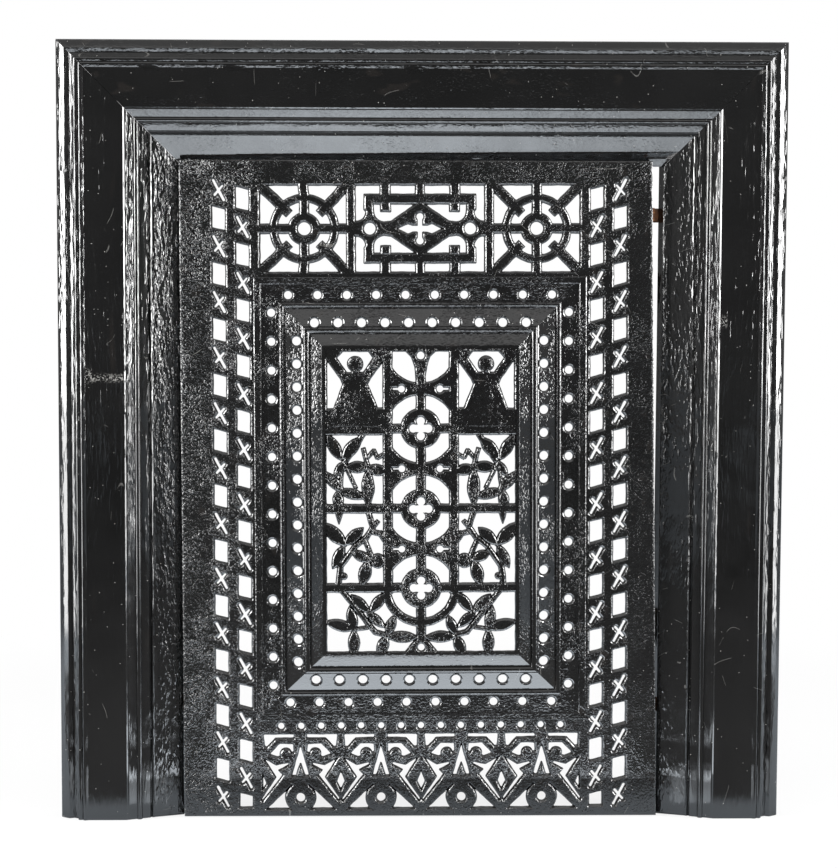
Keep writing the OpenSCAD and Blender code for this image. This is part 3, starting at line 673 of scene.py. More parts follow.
def rim_drop(depth, rim, wall, drop):
    """How far the face lies below its flat: a steep drafted wall down to the given depth, then a
    crowned bevel up to the flat."""
    through, shoulder, flat = rim
    bevel = drop * (np.clip(flat - depth, 0, flat - shoulder) / (flat - shoulder)) ** 1.1
    draft = np.clip(shoulder - depth, 0, shoulder - through)
    return bevel + (wall - drop) * draft / (shoulder - through)


def cover_meshes(step):
    """The pierced plate as four shells: each side with its ladder band, the frieze and the foot."""
    sizes = bpy.context.scene.fireplace_cover
    field = cover_field(step)
    x, y, depth, gx, gy = mirrored(field)
    top, foot = sizes.top / MM, FOOT_EDGE
    c, s = math.cos(sizes.lean), math.sin(sizes.lean)
    level_top, level_foot = (top - x * s) / c, (foot - x * s) / c
    high = np.clip((y - HEAD_LINE) / (HEAD_EDGE - HEAD_LINE), 0, 1)
    low = np.clip((FOOT_LINE - y) / (FOOT_LINE - FOOT_EDGE), 0, 1)
    y = y + high * (level_top - HEAD_EDGE) + low * (level_foot - FOOT_EDGE)
    width = sizes.width / MM
    left = -PLATE_LEFT_SHARE * width

    def right_edge(height):
        """The plate narrows evenly towards its top, on the right."""
        return left + width - sizes.taper / MM * (height - TAPER_FOOT) / TAPER_RUN

    off = np.maximum(np.abs(x - ROSETTE_U), np.abs(y - FRIEZE_V))
    x = x + ROSETTE_SHIFT * np.clip((ROSETTE_EDGE - off) / ROSETTE_FADE, 0, 1)
    outer = np.clip((np.abs(x) - SIDE_LINE) / (SIDE_EDGE - SIDE_LINE), 0, 1)
    on_left = -SIDE_LINE + outer * (left + SIDE_LINE)
    on_right = SIDE_LINE + outer * (right_edge(y) - SIDE_LINE)
    x = np.where(outer > 0, np.where(x < 0, on_left, on_right), x)
    points = np.stack([x.ravel(), y.ravel()], 1)
    points, flat_depth = snap(points, depth.ravel(), np.stack([gx.ravel(), gy.ravel()], 1),
                              PLATE_RIM, SNAP * step)
    triangles = grid_triangles(*x.shape)
    centre_u, centre_v = points[triangles].mean(1).T
    middle = (centre_v > CRESTING_TOP) & (centre_v < FRIEZE_FOOT)
    side = np.abs(centre_u) > BAND_SIDE
    ends = np.where(centre_v > FRIEZE_FOOT, 2, 3)
    tags = np.where(middle | side, np.where(centre_u < 0, 0, 1), ends)
    points, d, face, face_tags, sheet, sheet_tags = pierce(
        points, flat_depth, triangles, tags, PLATE_RIM)
    u, v = points.T
    edge = np.minimum.reduce([u - left, right_edge(v) - u, v - (foot - u * s) / c, (top - u * s) / c - v])
    rim = EDGE_DEEP * (1 - np.clip(edge, 0, EDGE_WIDE) / EDGE_WIDE) ** 2
    thick = sizes.thickness / MM
    h = PLATE_BACK + thick - rim_drop(d, PLATE_RIM, *PLATE_DROP) - rim - np.abs(wander(u, v, 0.06))
    front, back = stand(u, v, h), stand(u, v, np.full(len(u), PLATE_BACK))
    for tag in range(4):
        yield shell(front, back, face[face_tags == tag], sheet[sheet_tags == tag])


def lattice_meshes(step):
    """The lattice as two shells, upper and lower: flat bars, crowned leaves, robed figures."""
    field = lattice_field(step)
    x, y, depth, gx, gy = mirrored(field)
    points = np.stack([x.ravel(), y.ravel()], 1)
    points, depth = snap(points, depth.ravel(), np.stack([gx.ravel(), gy.ravel()], 1),
                         LATTICE_RIM, SNAP * step)
    triangles = grid_triangles(*x.shape)
    tags = (points[triangles].mean(1)[:, 1] > BAR_V[1]).astype(int)
    points, d, face, tags, _, _ = pierce(points, depth, triangles, tags, LATTICE_RIM)
    u, v = points.T
    h = LATTICE_FACE - rim_drop(d, LATTICE_RIM, *LATTICE_DROP) + lattice_relief(-np.abs(u), v, d)
    front, back = stand(u, v, h), stand(u, v, np.full(len(u), LATTICE_BACK))
    for tag in range(2):
        yield shell(front, back, face[tags == tag], face[tags == tag])


def hump(x, y, centre, reach):
    """A smooth round rise: one at its centre, falling off as a bell."""
    return np.exp(-((x - centre[0]) / reach[0]) ** 2 - ((y - centre[1]) / reach[1]) ** 2)


def lattice_relief(u, v, d):
    """Carving on the figure: the folds of its robe, a cosine across it, and bell-shaped rises and
    hollows for the knots on the robe, the head, a plain face, the hair and the collar."""
    x, y = u - CELL_U, v - ROW_V[0]
    h = np.zeros(len(u))
    cell = (np.abs(x) < 27) & (y > 8) & (y < 84)
    robe = np.clip((54 - y) / 6, 0, 1) * np.clip((14 + (54 - y) * 0.24 - np.abs(x)) / 3, 0, 1)
    spread = x / (1 + (54 - y) * 0.016)
    folds = 0.12 * np.cos(spread * 0.9) * np.clip((46 - y) / 20, 0, 1)
    h += np.where(cell, robe * (0.25 + folds * np.clip((y - 8) / 10, 0, 1)), 0)
    for at in ((-4, 38), (8, 38), (1.5, 21), (-18, 12), (2.5, 12), (-9, 29), (11, 27)):
        h += 0.4 * hump(x, y, at, (2.4, 2.0))
    h += 0.9 * hump(x, y, (0.6, 70), (6.2, 7.2)) + 0.3 * hump(x, y, (0.6, 70), (1.0, 3.4))
    h -= 0.35 * (hump(x, y, (-1.8, 71.6), (1.3, 0.9)) + hump(x, y, (3.0, 71.6), (1.3, 0.9)))
    h -= 0.25 * hump(x, y, (0.6, 66.4), (1.9, 0.7))
    h += 0.4 * hump(x, y, (0.6, 76.4), (5.6, 1.4))
    h -= 0.35 * hump(x, y, (0.6, 61.5), (4.6, 1.0))
    inside = np.clip(d - LATTICE_RIM[2], 0, 4) / 4
    return np.clip(h, -0.7, 0.55) * np.clip(inside * 3, 0, 1)


# ---------- the panel's moulding: in from its outer edge and forward of the wall plane ----------

PANEL_W = 71.2
OUTER_BEAD = arc((27.9, 29.6), 3, 165, 25, 9)
INNER_BEAD = arc((52.4, 38), 3.6, 165, 25, 10)
PANEL_FRONT = (
    [(0, 31), (0.8, 31.6), (6.3, 31.6), (7.1, 30.8), (7.5, 30), (24.8, 30)] + OUTER_BEAD
    + [(31.6, 30.8), (48.2, 38.4)] + INNER_BEAD
    + [(56.7, 39.4), (67.2, 44.6), (68.4, 45), (PANEL_W, 45)])
PANEL_BACK = [
    (0, 28.05), (11.5, 28.05), (12.5, 26), (32, 26), (48, 33.4), (57, 34.4), (66.5, 39), (PANEL_W, 40)]
# The panel's half width, and the heights of its lower and upper edge
PANEL_HALF, PANEL_LOW, PANEL_HIGH = 165.7, 98.6, 543.8
# The round holes: radius at the face in the outer and the inner row, and what parts the rows
DOT_R_OUTER, DOT_R_INNER, DOT_ROWS_APART = 4.9, 5.3, 30
# The last part of each side, along which its grid is drawn in to the mitre
MITRE_RUN = 80


def moulding_strip(length, dots, step):
    """One mitred side of the moulding in its own frame: along its middle, and inward from its edge."""
    half = length / 2
    spread = np.unique(np.round(np.concatenate([
        [0, 0.8, 3, 6.3, 7.1, 7.5, 9.4], even_steps(11.5, 24.8, step),
        [p[0] for p in OUTER_BEAD], [31.6, 33.5], even_steps(35.5, 48.2, step),
        [p[0] for p in INNER_BEAD], [56.7, 60, 64, 67.2, 68.4, PANEL_W]]), 4))
    keep = np.concatenate([[True], np.diff(spread) > 0.25])
    across = spread[keep]
    across[-1] = PANEL_W
    fixed = half - MITRE_RUN
    ends = even_steps(fixed, half, step * 1.1)[1:]
    along = np.concatenate([-ends[::-1], even_steps(-fixed, fixed, step), ends])
    a, t = np.meshgrid(along, across)
    beyond = np.clip((np.abs(a) - fixed) / (half - fixed), 0, 1)
    a = np.sign(a) * (np.minimum(np.abs(a), fixed) + beyond * (half - t - fixed))

    def depth_at(p, q):
        """Distance to the nearest round hole."""
        return np.minimum.reduce([
            disc(p, q, c, DOT_R_OUTER if c[1] < DOT_ROWS_APART else DOT_R_INNER) for c in dots])

    depth = depth_at(a, t).ravel()
    e = 0.05
    slope = np.stack([(depth_at(a + e, t) - depth_at(a - e, t)).ravel(),
                      (depth_at(a, t + e) - depth_at(a, t - e)).ravel()], 1) / (2 * e)
    points = np.stack([a.ravel(), t.ravel()], 1)
    points, depth = snap(points, depth, slope, DOT_RIM, SNAP * step)
    triangles = grid_triangles(*a.shape)
    untagged = np.zeros(len(triangles), int)
    points, d, face, _, sheet, _ = pierce(points, depth, triangles, untagged, DOT_RIM)
    s, q = points.T
    front = np.interp(q, *zip(*PANEL_FRONT))
    back = np.interp(q, *zip(*PANEL_BACK))
    wall, bevel = DOT_DROP
    front = front - rim_drop(d, DOT_RIM, np.minimum(front - back - 0.6, wall), bevel)
    front = front - 0.1 * np.abs(np.sin(s / 37.0 + q / 19.0))
    return s, q, front, back, face, sheet


def panel_meshes(step):
    """The four mitred sides of the centre panel's moulding, with two rows of round holes each."""
    hw, low, high = PANEL_HALF, PANEL_LOW, PANEL_HIGH
    middle = (low + high) / 2

    def row(t, first, last, count):
        """Centres of a row of holes: along the side from first to last, and in from its edge."""
        return [(x, t) for x in np.linspace(first, last, count)]

    def rail(outer, inner):
        """The two rows of a level side."""
        return row(outer, -131.5, 131.5, 10) + row(inner, -105.3, 105.3, 10)

    upright = [(x - middle, t) for x, t in row(17.3, 134.2, 508.5, 14) + row(42.6, 158.6, 480.4, 15)]
    sides = {
        "lower": (2 * hw, rail(18.1, 42.0), lambda s, q: (s, low + q)),
        "upper": (2 * hw, rail(17.8, 45.4), lambda s, q: (s, high - q)),
        "left": (high - low, upright, lambda s, q: (q - hw, middle + s)),
        "right": (high - low, upright, lambda s, q: (hw - q, middle + s)),
    }
    for name, (length, dots, place) in sides.items():
        s, q, front, back, face, sheet = moulding_strip(length, dots, step)
        u, v = place(s, q)
        if name in ("upper", "left"):
            face, sheet = face[:, ::-1], sheet[:, ::-1]
        yield name, shell(stand(u, v, front), stand(u, v, back), face, sheet)


# ---------- the surround: in from its outer edge and forward of the wall plane, in mm ----------

BAND_W = 122.5
# The castings' front from the outer edge to the lip, then their hollow back, so that the closed
# section is listed clockwise
SECTION_FRONT = (
    [(0, 0), (0, 12), (0, 24.5), (0.5, 25.8), (1.6, 27.2), (4.8, 29.5), (8.2, 32), (9.1, 32.4),
     (10, 32.1), (13.4, 30.6), (14, 30.7), (16.2, 32.2), (18.4, 34), (18.6, 37)]
    + arc((20.9, 37.4), 2.4, 170, 66, 7) + [(23.3, 39)] + arc((25.8, 39.2), 2.4, 190, 66, 8)
    + [(28.9, 40.45), (36, 40.5), (48, 40.6), (60, 40.5), (67.4, 40.4), (68.6, 39.3), (69.6, 39.3),
       (70.8, 38.6), (71.4, 38.3), (76.6, 35.9), (77.2, 35.9)]
    + arc((79.6, 35.2), 2.6, 140, 0, 9) + [(82.4, 33.4), (83, 33.3), (89.6, 30.2)]
    + [(90.2, 28), (90.5, 27.8), (92.4, 29.1), (93.1, 29), (94.2, 27.8), (101, 25.2)]
    + [(s, 25.2 - 0.386 * (s - 101)) for s in range(104, 121, 2)]
    + [(121.3, 17.4), (122.3, 16.8), (BAND_W, 16)])
SECTION_BACK = [
    (BAND_W, 10.4), (120.5, 10.4), (90, 22.5), (84, 26.5), (78, 31), (70, 33), (66, 34.6),
    (30, 34.6), (20, 31.5), (12, 24.5), (6, 20), (6, 0)]


def swept(section, first, last, place, count, uneven):
    """A closed section, listed clockwise, carried along a length whose ends are mitred: each point
    of the section runs from its own start to its own end, with slow waves between."""
    s, h = np.array(section).T
    t = np.linspace(0, 1, count)[:, None]
    start, end = first(s)[None, :], last(s)[None, :]
    run = start + (end - start) * t
    fade = np.sin(np.pi * t) ** 0.5
    wave = fade * uneven * (np.sin(run / 37.0 + s / 26.0) + 0.7 * np.sin(run / 14.0 + s / 9.0 + 2.0)
                            + 0.5 * np.sin(run / 6.1 - s / 13.0))
    solid = np.clip((h - 2) / 6, 0, 1)
    x, y, z = place(run, s + 0 * run, h - 0.5 * solid * (2.2 * fade * uneven + wave))
    points = np.stack([x.ravel(), y.ravel(), z.ravel()], 1)
    n = len(s)
    j, i = np.meshgrid(np.arange(count - 1), np.arange(n), indexing="ij")
    a, b = (j * n + i).ravel(), (j * n + (i + 1) % n).ravel()
    sides = np.concatenate([np.stack([a, b, b + n], 1), np.stack([a, b + n, a + n], 1)])
    cap = np.array(tessellate_polygon([[(p[0], p[1], 0) for p in section]]))
    e1, e2 = (np.array(section)[cap[:, k]] - np.array(section)[cap[:, 0]] for k in (1, 2))
    clockwise = e1[:, 0] * e2[:, 1] < e1[:, 1] * e2[:, 0]
    cap[clockwise] = cap[clockwise][:, ::-1]
    return outward(points, np.concatenate([sides, cap, cap[:, ::-1] + n * (count - 1)]))


def collar(outer, inner, foot, end):
    """A plate or boss with a hole: rings of points carried round from the outline to the hole, from
    the height of its foot to that of its free end, whose two edges are softened."""
    soft = end - math.copysign(0.8, end - foot)
    rings = [(outer, foot), (outer, soft), (outer + (inner - outer) * 0.06, end),
             (inner + (outer - inner) * 0.06, end), (inner, soft), (inner, foot)]
    n = len(outer)
    points = np.concatenate([
        np.column_stack([p[:, 0], np.full(n, BACK_Y - h), p[:, 1]]) for p, h in rings])
    j, i = np.meshgrid(np.arange(len(rings)), np.arange(n), indexing="ij")
    a, b = (j * n + i).ravel(), (j * n + (i + 1) % n).ravel()
    wrap = len(points)
    c, d = (b + n) % wrap, (a + n) % wrap
    return outward(points, np.concatenate([np.stack([a, b, c], 1), np.stack([a, c, d], 1)]))


def round_outline(centre, radius, n=48):
    """Points of a circle: its centre and the radius times cosine and sine."""
    a = np.linspace(0, 2 * np.pi, n, endpoint=False)
    return np.column_stack([centre[0] + radius * np.cos(a), centre[1] + radius * np.sin(a)])


def box_outline(centre, low, high, soft, n=48):
    """Points of a rectangle, one for each direction from a centre in it: as far out as its nearer
    side lies, and a little less by a bell near the corners."""
    a = np.linspace(0, 2 * np.pi, n, endpoint=False)
    dx, dy = np.cos(a), np.sin(a)
    tx = np.where(dx > 0, high[0] - centre[0], centre[0] - low[0]) / np.maximum(np.abs(dx), 1e-6)
    ty = np.where(dy > 0, high[1] - centre[1], centre[1] - low[1]) / np.maximum(np.abs(dy), 1e-6)
    near, far = np.minimum(tx, ty), np.maximum(tx, ty)
    reach = near * (1 - soft * np.exp(-((far / near - 1) / 0.12) ** 2))
    return np.column_stack([centre[0] + reach * dx, centre[1] + reach * dy])


# The header's bevel falls away steeply just above the cover: where along it, how far in from the
# top edge the fall starts there, and its slope and depth
FALL_X = (-245, -180, 0, 245)
FALL_S = (116.5, 113.5, 110.5, 108)
FALL_SLOPE, FALL_DEPTH = 0.62, 4.2
# Points of the header's section that lie further forward than this belong to its face
FACE_H = 12
# How far the right jamb's foot leans in, and below which height
LEAN_IN, LEAN_TOP = 2.6, 650
# How much wider the right jamb's lip is behind, and where in from the edge and below which height
# before the wall plane the lip's back lies
LIP_FLARE, LIP_S, LIP_H = 3.8, 120.5, 11
# How many sections the header and each jamb are carried through
HEADER_SECTIONS, JAMB_SECTIONS = 150, 160
# Ears: half width, hole's radius, thickness, and how far in from the outer edge the hole is; how
# far off the middle the header's are, and how high up the jambs' are
EAR_HALF, EAR_HOLE, EAR_THICK, EAR_IN = 13, 4.5, 6, 26
HEADER_EAR_X = 220
JAMB_EAR_Z = 150
# How far in each ear starts and ends: the header's stand proud of its edge
HEADER_EAR_SPAN, JAMB_EAR_SPAN = (-2, 40), (1, 41)
# Bosses for the corner plates: how far in from the edge and from the mitre, and foot and end
BOSS_IN, BOSS_ALONG = 48, (40, 95)
BOSS_FOOT, BOSS_END = 26.6, 35.4
# Lugs for the rest clips: how far in, at which heights, half width, and foot and end
LUG_IN, LUG_Z, LUG_HALF = 107, (606, 110), 9
LUG_FOOT, LUG_END = 10.4, 19.5


def header_place(run, s, h, top):
    """Points of the header; its bevel falls away steeply near the cover."""
    start = np.interp(run, FALL_X, FALL_S)
    fall = np.clip(FALL_SLOPE * (s - start), 0, FALL_DEPTH) * (h > FACE_H)
    return run, BACK_Y - h + fall, top - s


def jamb_place(run, s, h, side, half):
    """Points of a jamb. The right one leans in at its foot and its lip is wider at the back."""
    x = half - s + 0 * run
    if side > 0:
        flare = LIP_FLARE * np.clip((s - LIP_S) / 2, 0, 1) * (h < LIP_H)
        x = x - LEAN_IN * np.clip(1 - run / LEAN_TOP, 0, 1) - flare
    return side * x, BACK_Y - h, run + 0 * s


def ear(hole, low, high):
    """A cast ear with its hole, against the wall plane."""
    return collar(box_outline(hole, low, high, 0.1), round_outline(hole, EAR_HOLE), 0, EAR_THICK)


def corner_boss(at):
    """A round boss behind the face for a corner plate's screw."""
    return collar(round_outline(at, 8), round_outline(at, 4.0), BOSS_FOOT, BOSS_END)


def clip_lug(x, z):
    """A square lug behind the bevel for a rest clip's screw."""
    low, high = (x - LUG_HALF, z - LUG_HALF), (x + LUG_HALF, z + LUG_HALF)
    return collar(box_outline((x, z), low, high, 0.06), round_outline((x, z), 3.0), LUG_FOOT, LUG_END)


def surround_meshes():
    """The header and the two jambs, each with its cast ears, lugs and screw bosses."""
    sizes = bpy.context.scene.fireplace_surround
    half, top = sizes.width / MM / 2, sizes.height / MM
    cut, uneven = sizes.mitre_gap / MM / 2, sizes.unevenness / MM
    section = SECTION_FRONT + SECTION_BACK
    header = [swept(section, lambda s: -half + cut + s, lambda s: half - cut - s,
                    lambda run, s, h: header_place(run, s, h, top), HEADER_SECTIONS, uneven)]
    for side in (-1, 1):
        x = side * HEADER_EAR_X
        proud, foot = HEADER_EAR_SPAN
        header.append(ear((x, top - EAR_IN), (x - EAR_HALF, top - foot), (x + EAR_HALF, top - proud)))
        header += [corner_boss((side * (half - BOSS_IN - d), top - BOSS_IN)) for d in BOSS_ALONG]
    yield "header_casting", "header", merged(header)
    for side, name in ((-1, "left_jamb"), (1, "right_jamb")):
        parts = [swept(section, lambda s: 0 * s, lambda s: top - s - cut,
                       lambda run, s, h, k=side: jamb_place(run, s, h, k, half),
                       JAMB_SECTIONS, uneven)]
        low, high = sorted(side * (half - span) for span in JAMB_EAR_SPAN)
        parts.append(ear((side * (half - EAR_IN), JAMB_EAR_Z), (low, JAMB_EAR_Z - EAR_HALF),
                         (high, JAMB_EAR_Z + EAR_HALF)))
        parts += [clip_lug(side * (half - LUG_IN), z) for z in LUG_Z]
        parts += [corner_boss((side * (half - BOSS_IN), top - BOSS_IN - d)) for d in BOSS_ALONG]
        yield name + "_casting", name, merged(parts)


# ---------- how rough each casting is: places across it in mm, and the strength of its grain ----------

# In from the outer edge of the surround: smooth bevels, rough beads
HEADER_GRAIN = (
    (0, 26, 30, 66, 70, 89, 94, 120),
    (0.22, 0.2, 0.3, 0.3, 0.14, 0.14, 0.08, 0.08))
LEFT_GRAIN = (
    (0, 26, 30, 66, 70, 89, 94, 120),
    (0.3, 0.3, 0.2, 0.22, 0.28, 0.28, 1.0, 1.1))
RIGHT_GRAIN = (
    (0, 26, 30, 66, 70, 89, 94, 98, 114, 119),
    (0.3, 0.3, 0.2, 0.2, 0.25, 0.25, 0.36, 0.24, 0.24, 0.5))
# The jambs' grain grows with height
JAMB_HEIGHT_GRAIN = ((330, 420), (0.5, 1.05))
# The cover plate, from its left edge to its right, and near its top
PLATE_GRAIN = ((-235, -190, -160, 160, 200, 235), (1.15, 1.0, 0.6, 0.55, 0.5, 0.5))
PLATE_TOP_GRAIN = ((636, 646), (1.0, 1.35))
# In from the outer edge of the centre panel, for each side of its moulding
PANEL_GRAIN_AT = (0, 26, 30, 48, 56, 71)
PANEL_GRAIN = {
    "lower": (0.6, 0.5, 0.08, 0.08, 0.08, 0.2),
    "upper": (0.7, 0.6, 0.45, 0.4, 0.4, 0.4),
    "left": (0.9, 0.9, 0.24, 0.22, 0.26, 0.3),
    "right": (0.7, 0.7, 0.24, 0.22, 0.1, 0.3),
}
# How far the panel's sides lean, across for each mm up
PANEL_LEAN = 0.0044


# ---------- materials ----------

WHITE = (1, 1, 1, 1)


class Nodes:
    """Short calls for building a node tree."""

    def __init__(self, tree):
        self.tree = tree

    def add(self, kind, **values):
        """A new node with some of its properties set."""
        node = self.tree.nodes.new(kind)
        for key, value in values.items():
            setattr(node, key, value)
        return node

    def put(self, value, socket):
        """Links an output to a socket, or sets the socket to a number or colour."""
        if hasattr(value, "is_output"):
            self.tree.links.new(value, socket)
        elif value is not None:
            socket.default_value = value

    def maths(self, operation, a, b=None):
        """One or two values put through a maths operation."""
        node = self.add("ShaderNodeMath", operation=operation)
        for value, socket in zip((a, b), node.inputs):
            self.put(value, socket)
        return node.outputs[0]

    def parts(self, vector):
        """The vector's X, Y and Z, by name."""
        node = self.add("ShaderNodeSeparateXYZ")
        self.put(vector, node.inputs[0])
        return node.outputs

    def bump(self, shader, height, depth):
        """Tilts the shader's normal by a height, in mm for each unit of it."""
        node = self.add("ShaderNodeBump")
        node.inputs["Distance"].default_value = depth * MM
        self.put(height, node.inputs["Height"])
        self.put(node.outputs["Normal"], shader.inputs["Normal"])

    def mapping(self, vector, scale, location=(0, 0, 0)):
        """The vector times a scale, and moved."""
        node = self.add("ShaderNodeMapping")
        self.put(vector, node.inputs["Vector"])
        node.inputs["Scale"].default_value = scale
        node.inputs["Location"].default_value = location
        return node.outputs[0]

    def noise(self, vector, scale, detail=3.0, roughness=0.5, distortion=0.0):
        """Smooth noise from 0 to 1, mostly near a half."""
        node = self.add("ShaderNodeTexNoise")
        self.put(vector, node.inputs["Vector"])
        self.put(scale, node.inputs["Scale"])
        node.inputs["Detail"].default_value = detail
        node.inputs["Roughness"].default_value = roughness
        node.inputs["Distortion"].default_value = distortion
        return node.outputs["Fac"]

    def ramp(self, value, low, high, to_low=0.0, to_high=1.0):
        """A smooth step from one number to another as the value goes from low to high."""
        node = self.add("ShaderNodeMapRange", interpolation_type="SMOOTHSTEP")
        self.put(value, node.inputs["Value"])
        limits = {"From Min": low, "From Max": high, "To Min": to_low, "To Max": to_high}
        for key, number in limits.items():
            self.put(number, node.inputs[key])
        return node.outputs["Result"]

    def mix(self, factor, a, b):
        """Colour a where the factor is 0, b where it is 1."""
        node = self.add("ShaderNodeMix", data_type="RGBA")
        self.put(factor, node.inputs[0])
        self.put(a, node.inputs[6])
        self.put(b, node.inputs[7])
        return node.outputs[2]

    def blend(self, factor, first, second, surface):
        """Puts the first shader on a surface where the factor is 0, the second where it is 1."""
        node = self.add("ShaderNodeMixShader")
        for value, socket in zip((factor, first.outputs[0], second.outputs[0]), node.inputs):
            self.put(value, socket)
        self.put(node.outputs[0], surface)


def new_material(name):
    """An empty material: its nodes, its output socket and the object's own coordinates."""
    material = bpy.data.materials.new(name)
    material.use_nodes = True
    k = Nodes(material.node_tree)
    k.tree.nodes.clear()
    surface = k.add("ShaderNodeOutputMaterial").inputs["Surface"]
    return material, k, surface, k.add("ShaderNodeTexCoord").outputs["Object"]


def new_group(name, inputs, outputs):
    """An empty shader node group with named sockets."""
    tree = bpy.data.node_groups.new(name, "ShaderNodeTree")
    for label, kind, default in inputs:
        socket = tree.interface.new_socket(label, in_out="INPUT", socket_type=kind)
        if default is not None:
            socket.default_value = default
    for label, kind in outputs:
        tree.interface.new_socket(label, in_out="OUTPUT", socket_type=kind)
    k = Nodes(tree)
    return k, k.add("NodeGroupInput"), k.add("NodeGroupOutput")


def cast_grain_group():
    """Height of sand-cast iron under enamel: grains, pits and slow lumps, stretched as asked."""
    k, i, o = new_group(
        "Cast grain",
        [("Vector", "NodeSocketVector", None), ("Grain size", "NodeSocketFloat", 1.0),
         ("Grains", "NodeSocketFloat", 1.0), ("Lumps", "NodeSocketFloat", 1.0),
         ("Pits", "NodeSocketFloat", 1.0), ("Calm", "NodeSocketFloat", 0.45),
         ("Wild", "NodeSocketFloat", 1.5)],
        [("Height", "NodeSocketFloat"), ("Pits", "NodeSocketFloat")])
    v = i.outputs["Vector"]
    size = i.outputs["Grain size"]
    fine = k.noise(v, k.maths("MULTIPLY", size, 620.0), 1.0, 0.5)
    fine = k.ramp(fine, 0.42, 0.78)
    middle = k.noise(v, k.maths("MULTIPLY", size, 250.0), 2.0, 0.5, 0.4)
    lumps = k.noise(v, 28.0, 2.0, 0.5)
    pit_noise = k.noise(v, k.maths("MULTIPLY", size, 95.0), 1.0, 0.4)
    pits = k.ramp(pit_noise, 0.66, 0.76)
    patches = k.ramp(k.noise(v, 34.0, 2.0, 0.6), 0.4, 0.62, i.outputs["Calm"], i.outputs["Wild"])
    grains = k.maths("ADD", k.maths("MULTIPLY", fine, 0.42), k.maths("MULTIPLY", middle, 0.8))
    grains = k.maths("MULTIPLY", k.maths("MULTIPLY", grains, patches), i.outputs["Grains"])
    total = k.maths("ADD", grains, k.maths("MULTIPLY", lumps, i.outputs["Lumps"]))
    total = k.maths("SUBTRACT", total, k.maths("MULTIPLY", pits, i.outputs["Pits"]))
    k.put(total, o.inputs["Height"])
    k.put(pits, o.inputs["Pits"])
    return k.tree


def scratches_and_glints_group():
    """Pale marks: thin scratches, narrow bands of a stretched noise kept to a few patches, and pale
    specks painted as small highlights standing in for glints, the middles of some cells of a cell pattern."""
    k, i, o = new_group(
        "Scratches", [("Vector", "NodeSocketVector", None), ("Amount", "NodeSocketFloat", 0.5)],
        [("Mask", "NodeSocketFloat")])
    v = i.outputs["Vector"]
    total = None
    for scale, stretch, offset in ((34.0, (1.0, 1.0, 0.4), 0.0), (30.0, (0.4, 1.0, 1.0), 3.0)):
        moved = k.mapping(v, stretch, (offset, offset, offset))
        off_middle = k.maths("ABSOLUTE", k.maths("SUBTRACT", k.noise(moved, scale, 0.0), 0.5))
        line = k.ramp(off_middle, 0.005, 0.002)
        patch = k.ramp(k.noise(moved, 2.6 * scale, 1.0), 0.64, 0.69)
        part = k.maths("MULTIPLY", line, patch)
        total = part if total is None else k.maths("MAXIMUM", total, part)
    cells = k.add("ShaderNodeTexVoronoi")
    k.put(v, cells.inputs["Vector"])
    cells.inputs["Scale"].default_value = 170.0
    lot = k.maths("FRACT", k.maths("MULTIPLY", cells.outputs["Color"], 7.0))
    chosen = k.maths("GREATER_THAN", lot, 0.6)
    # Pale specks painted on as small highlights, standing in for glints on the enamel
    specks = k.maths("MULTIPLY", k.ramp(cells.outputs["Distance"], 0.1, 0.06), chosen)
    scratches = k.maths("MULTIPLY", total, i.outputs["Amount"])
    k.put(k.maths("MAXIMUM", specks, scratches), o.inputs["Mask"])
    return k.tree


GROUPS = {}


def use_group(k, build, **values):
    """Places a node group, built the first time it is asked for, and sets its inputs."""
    if build not in GROUPS:
        GROUPS[build] = build()
    node = k.add("ShaderNodeGroup", node_tree=GROUPS[build])
    for label, value in values.items():
        k.put(value, node.inputs[label.replace("_", " ")])
    return node


# Colours with alpha: soot in the pits, and pale marks on the enamel: bare scratches and scuffs, and specks
# painted as highlights standing in for glints
SOOT = (0.02, 0.017, 0.015, 1)
CHALK_AND_GLINT = (0.34, 0.33, 0.31, 1)
# Half the width over which the grain of the bevel takes over, in metres
SEAM = 0.002


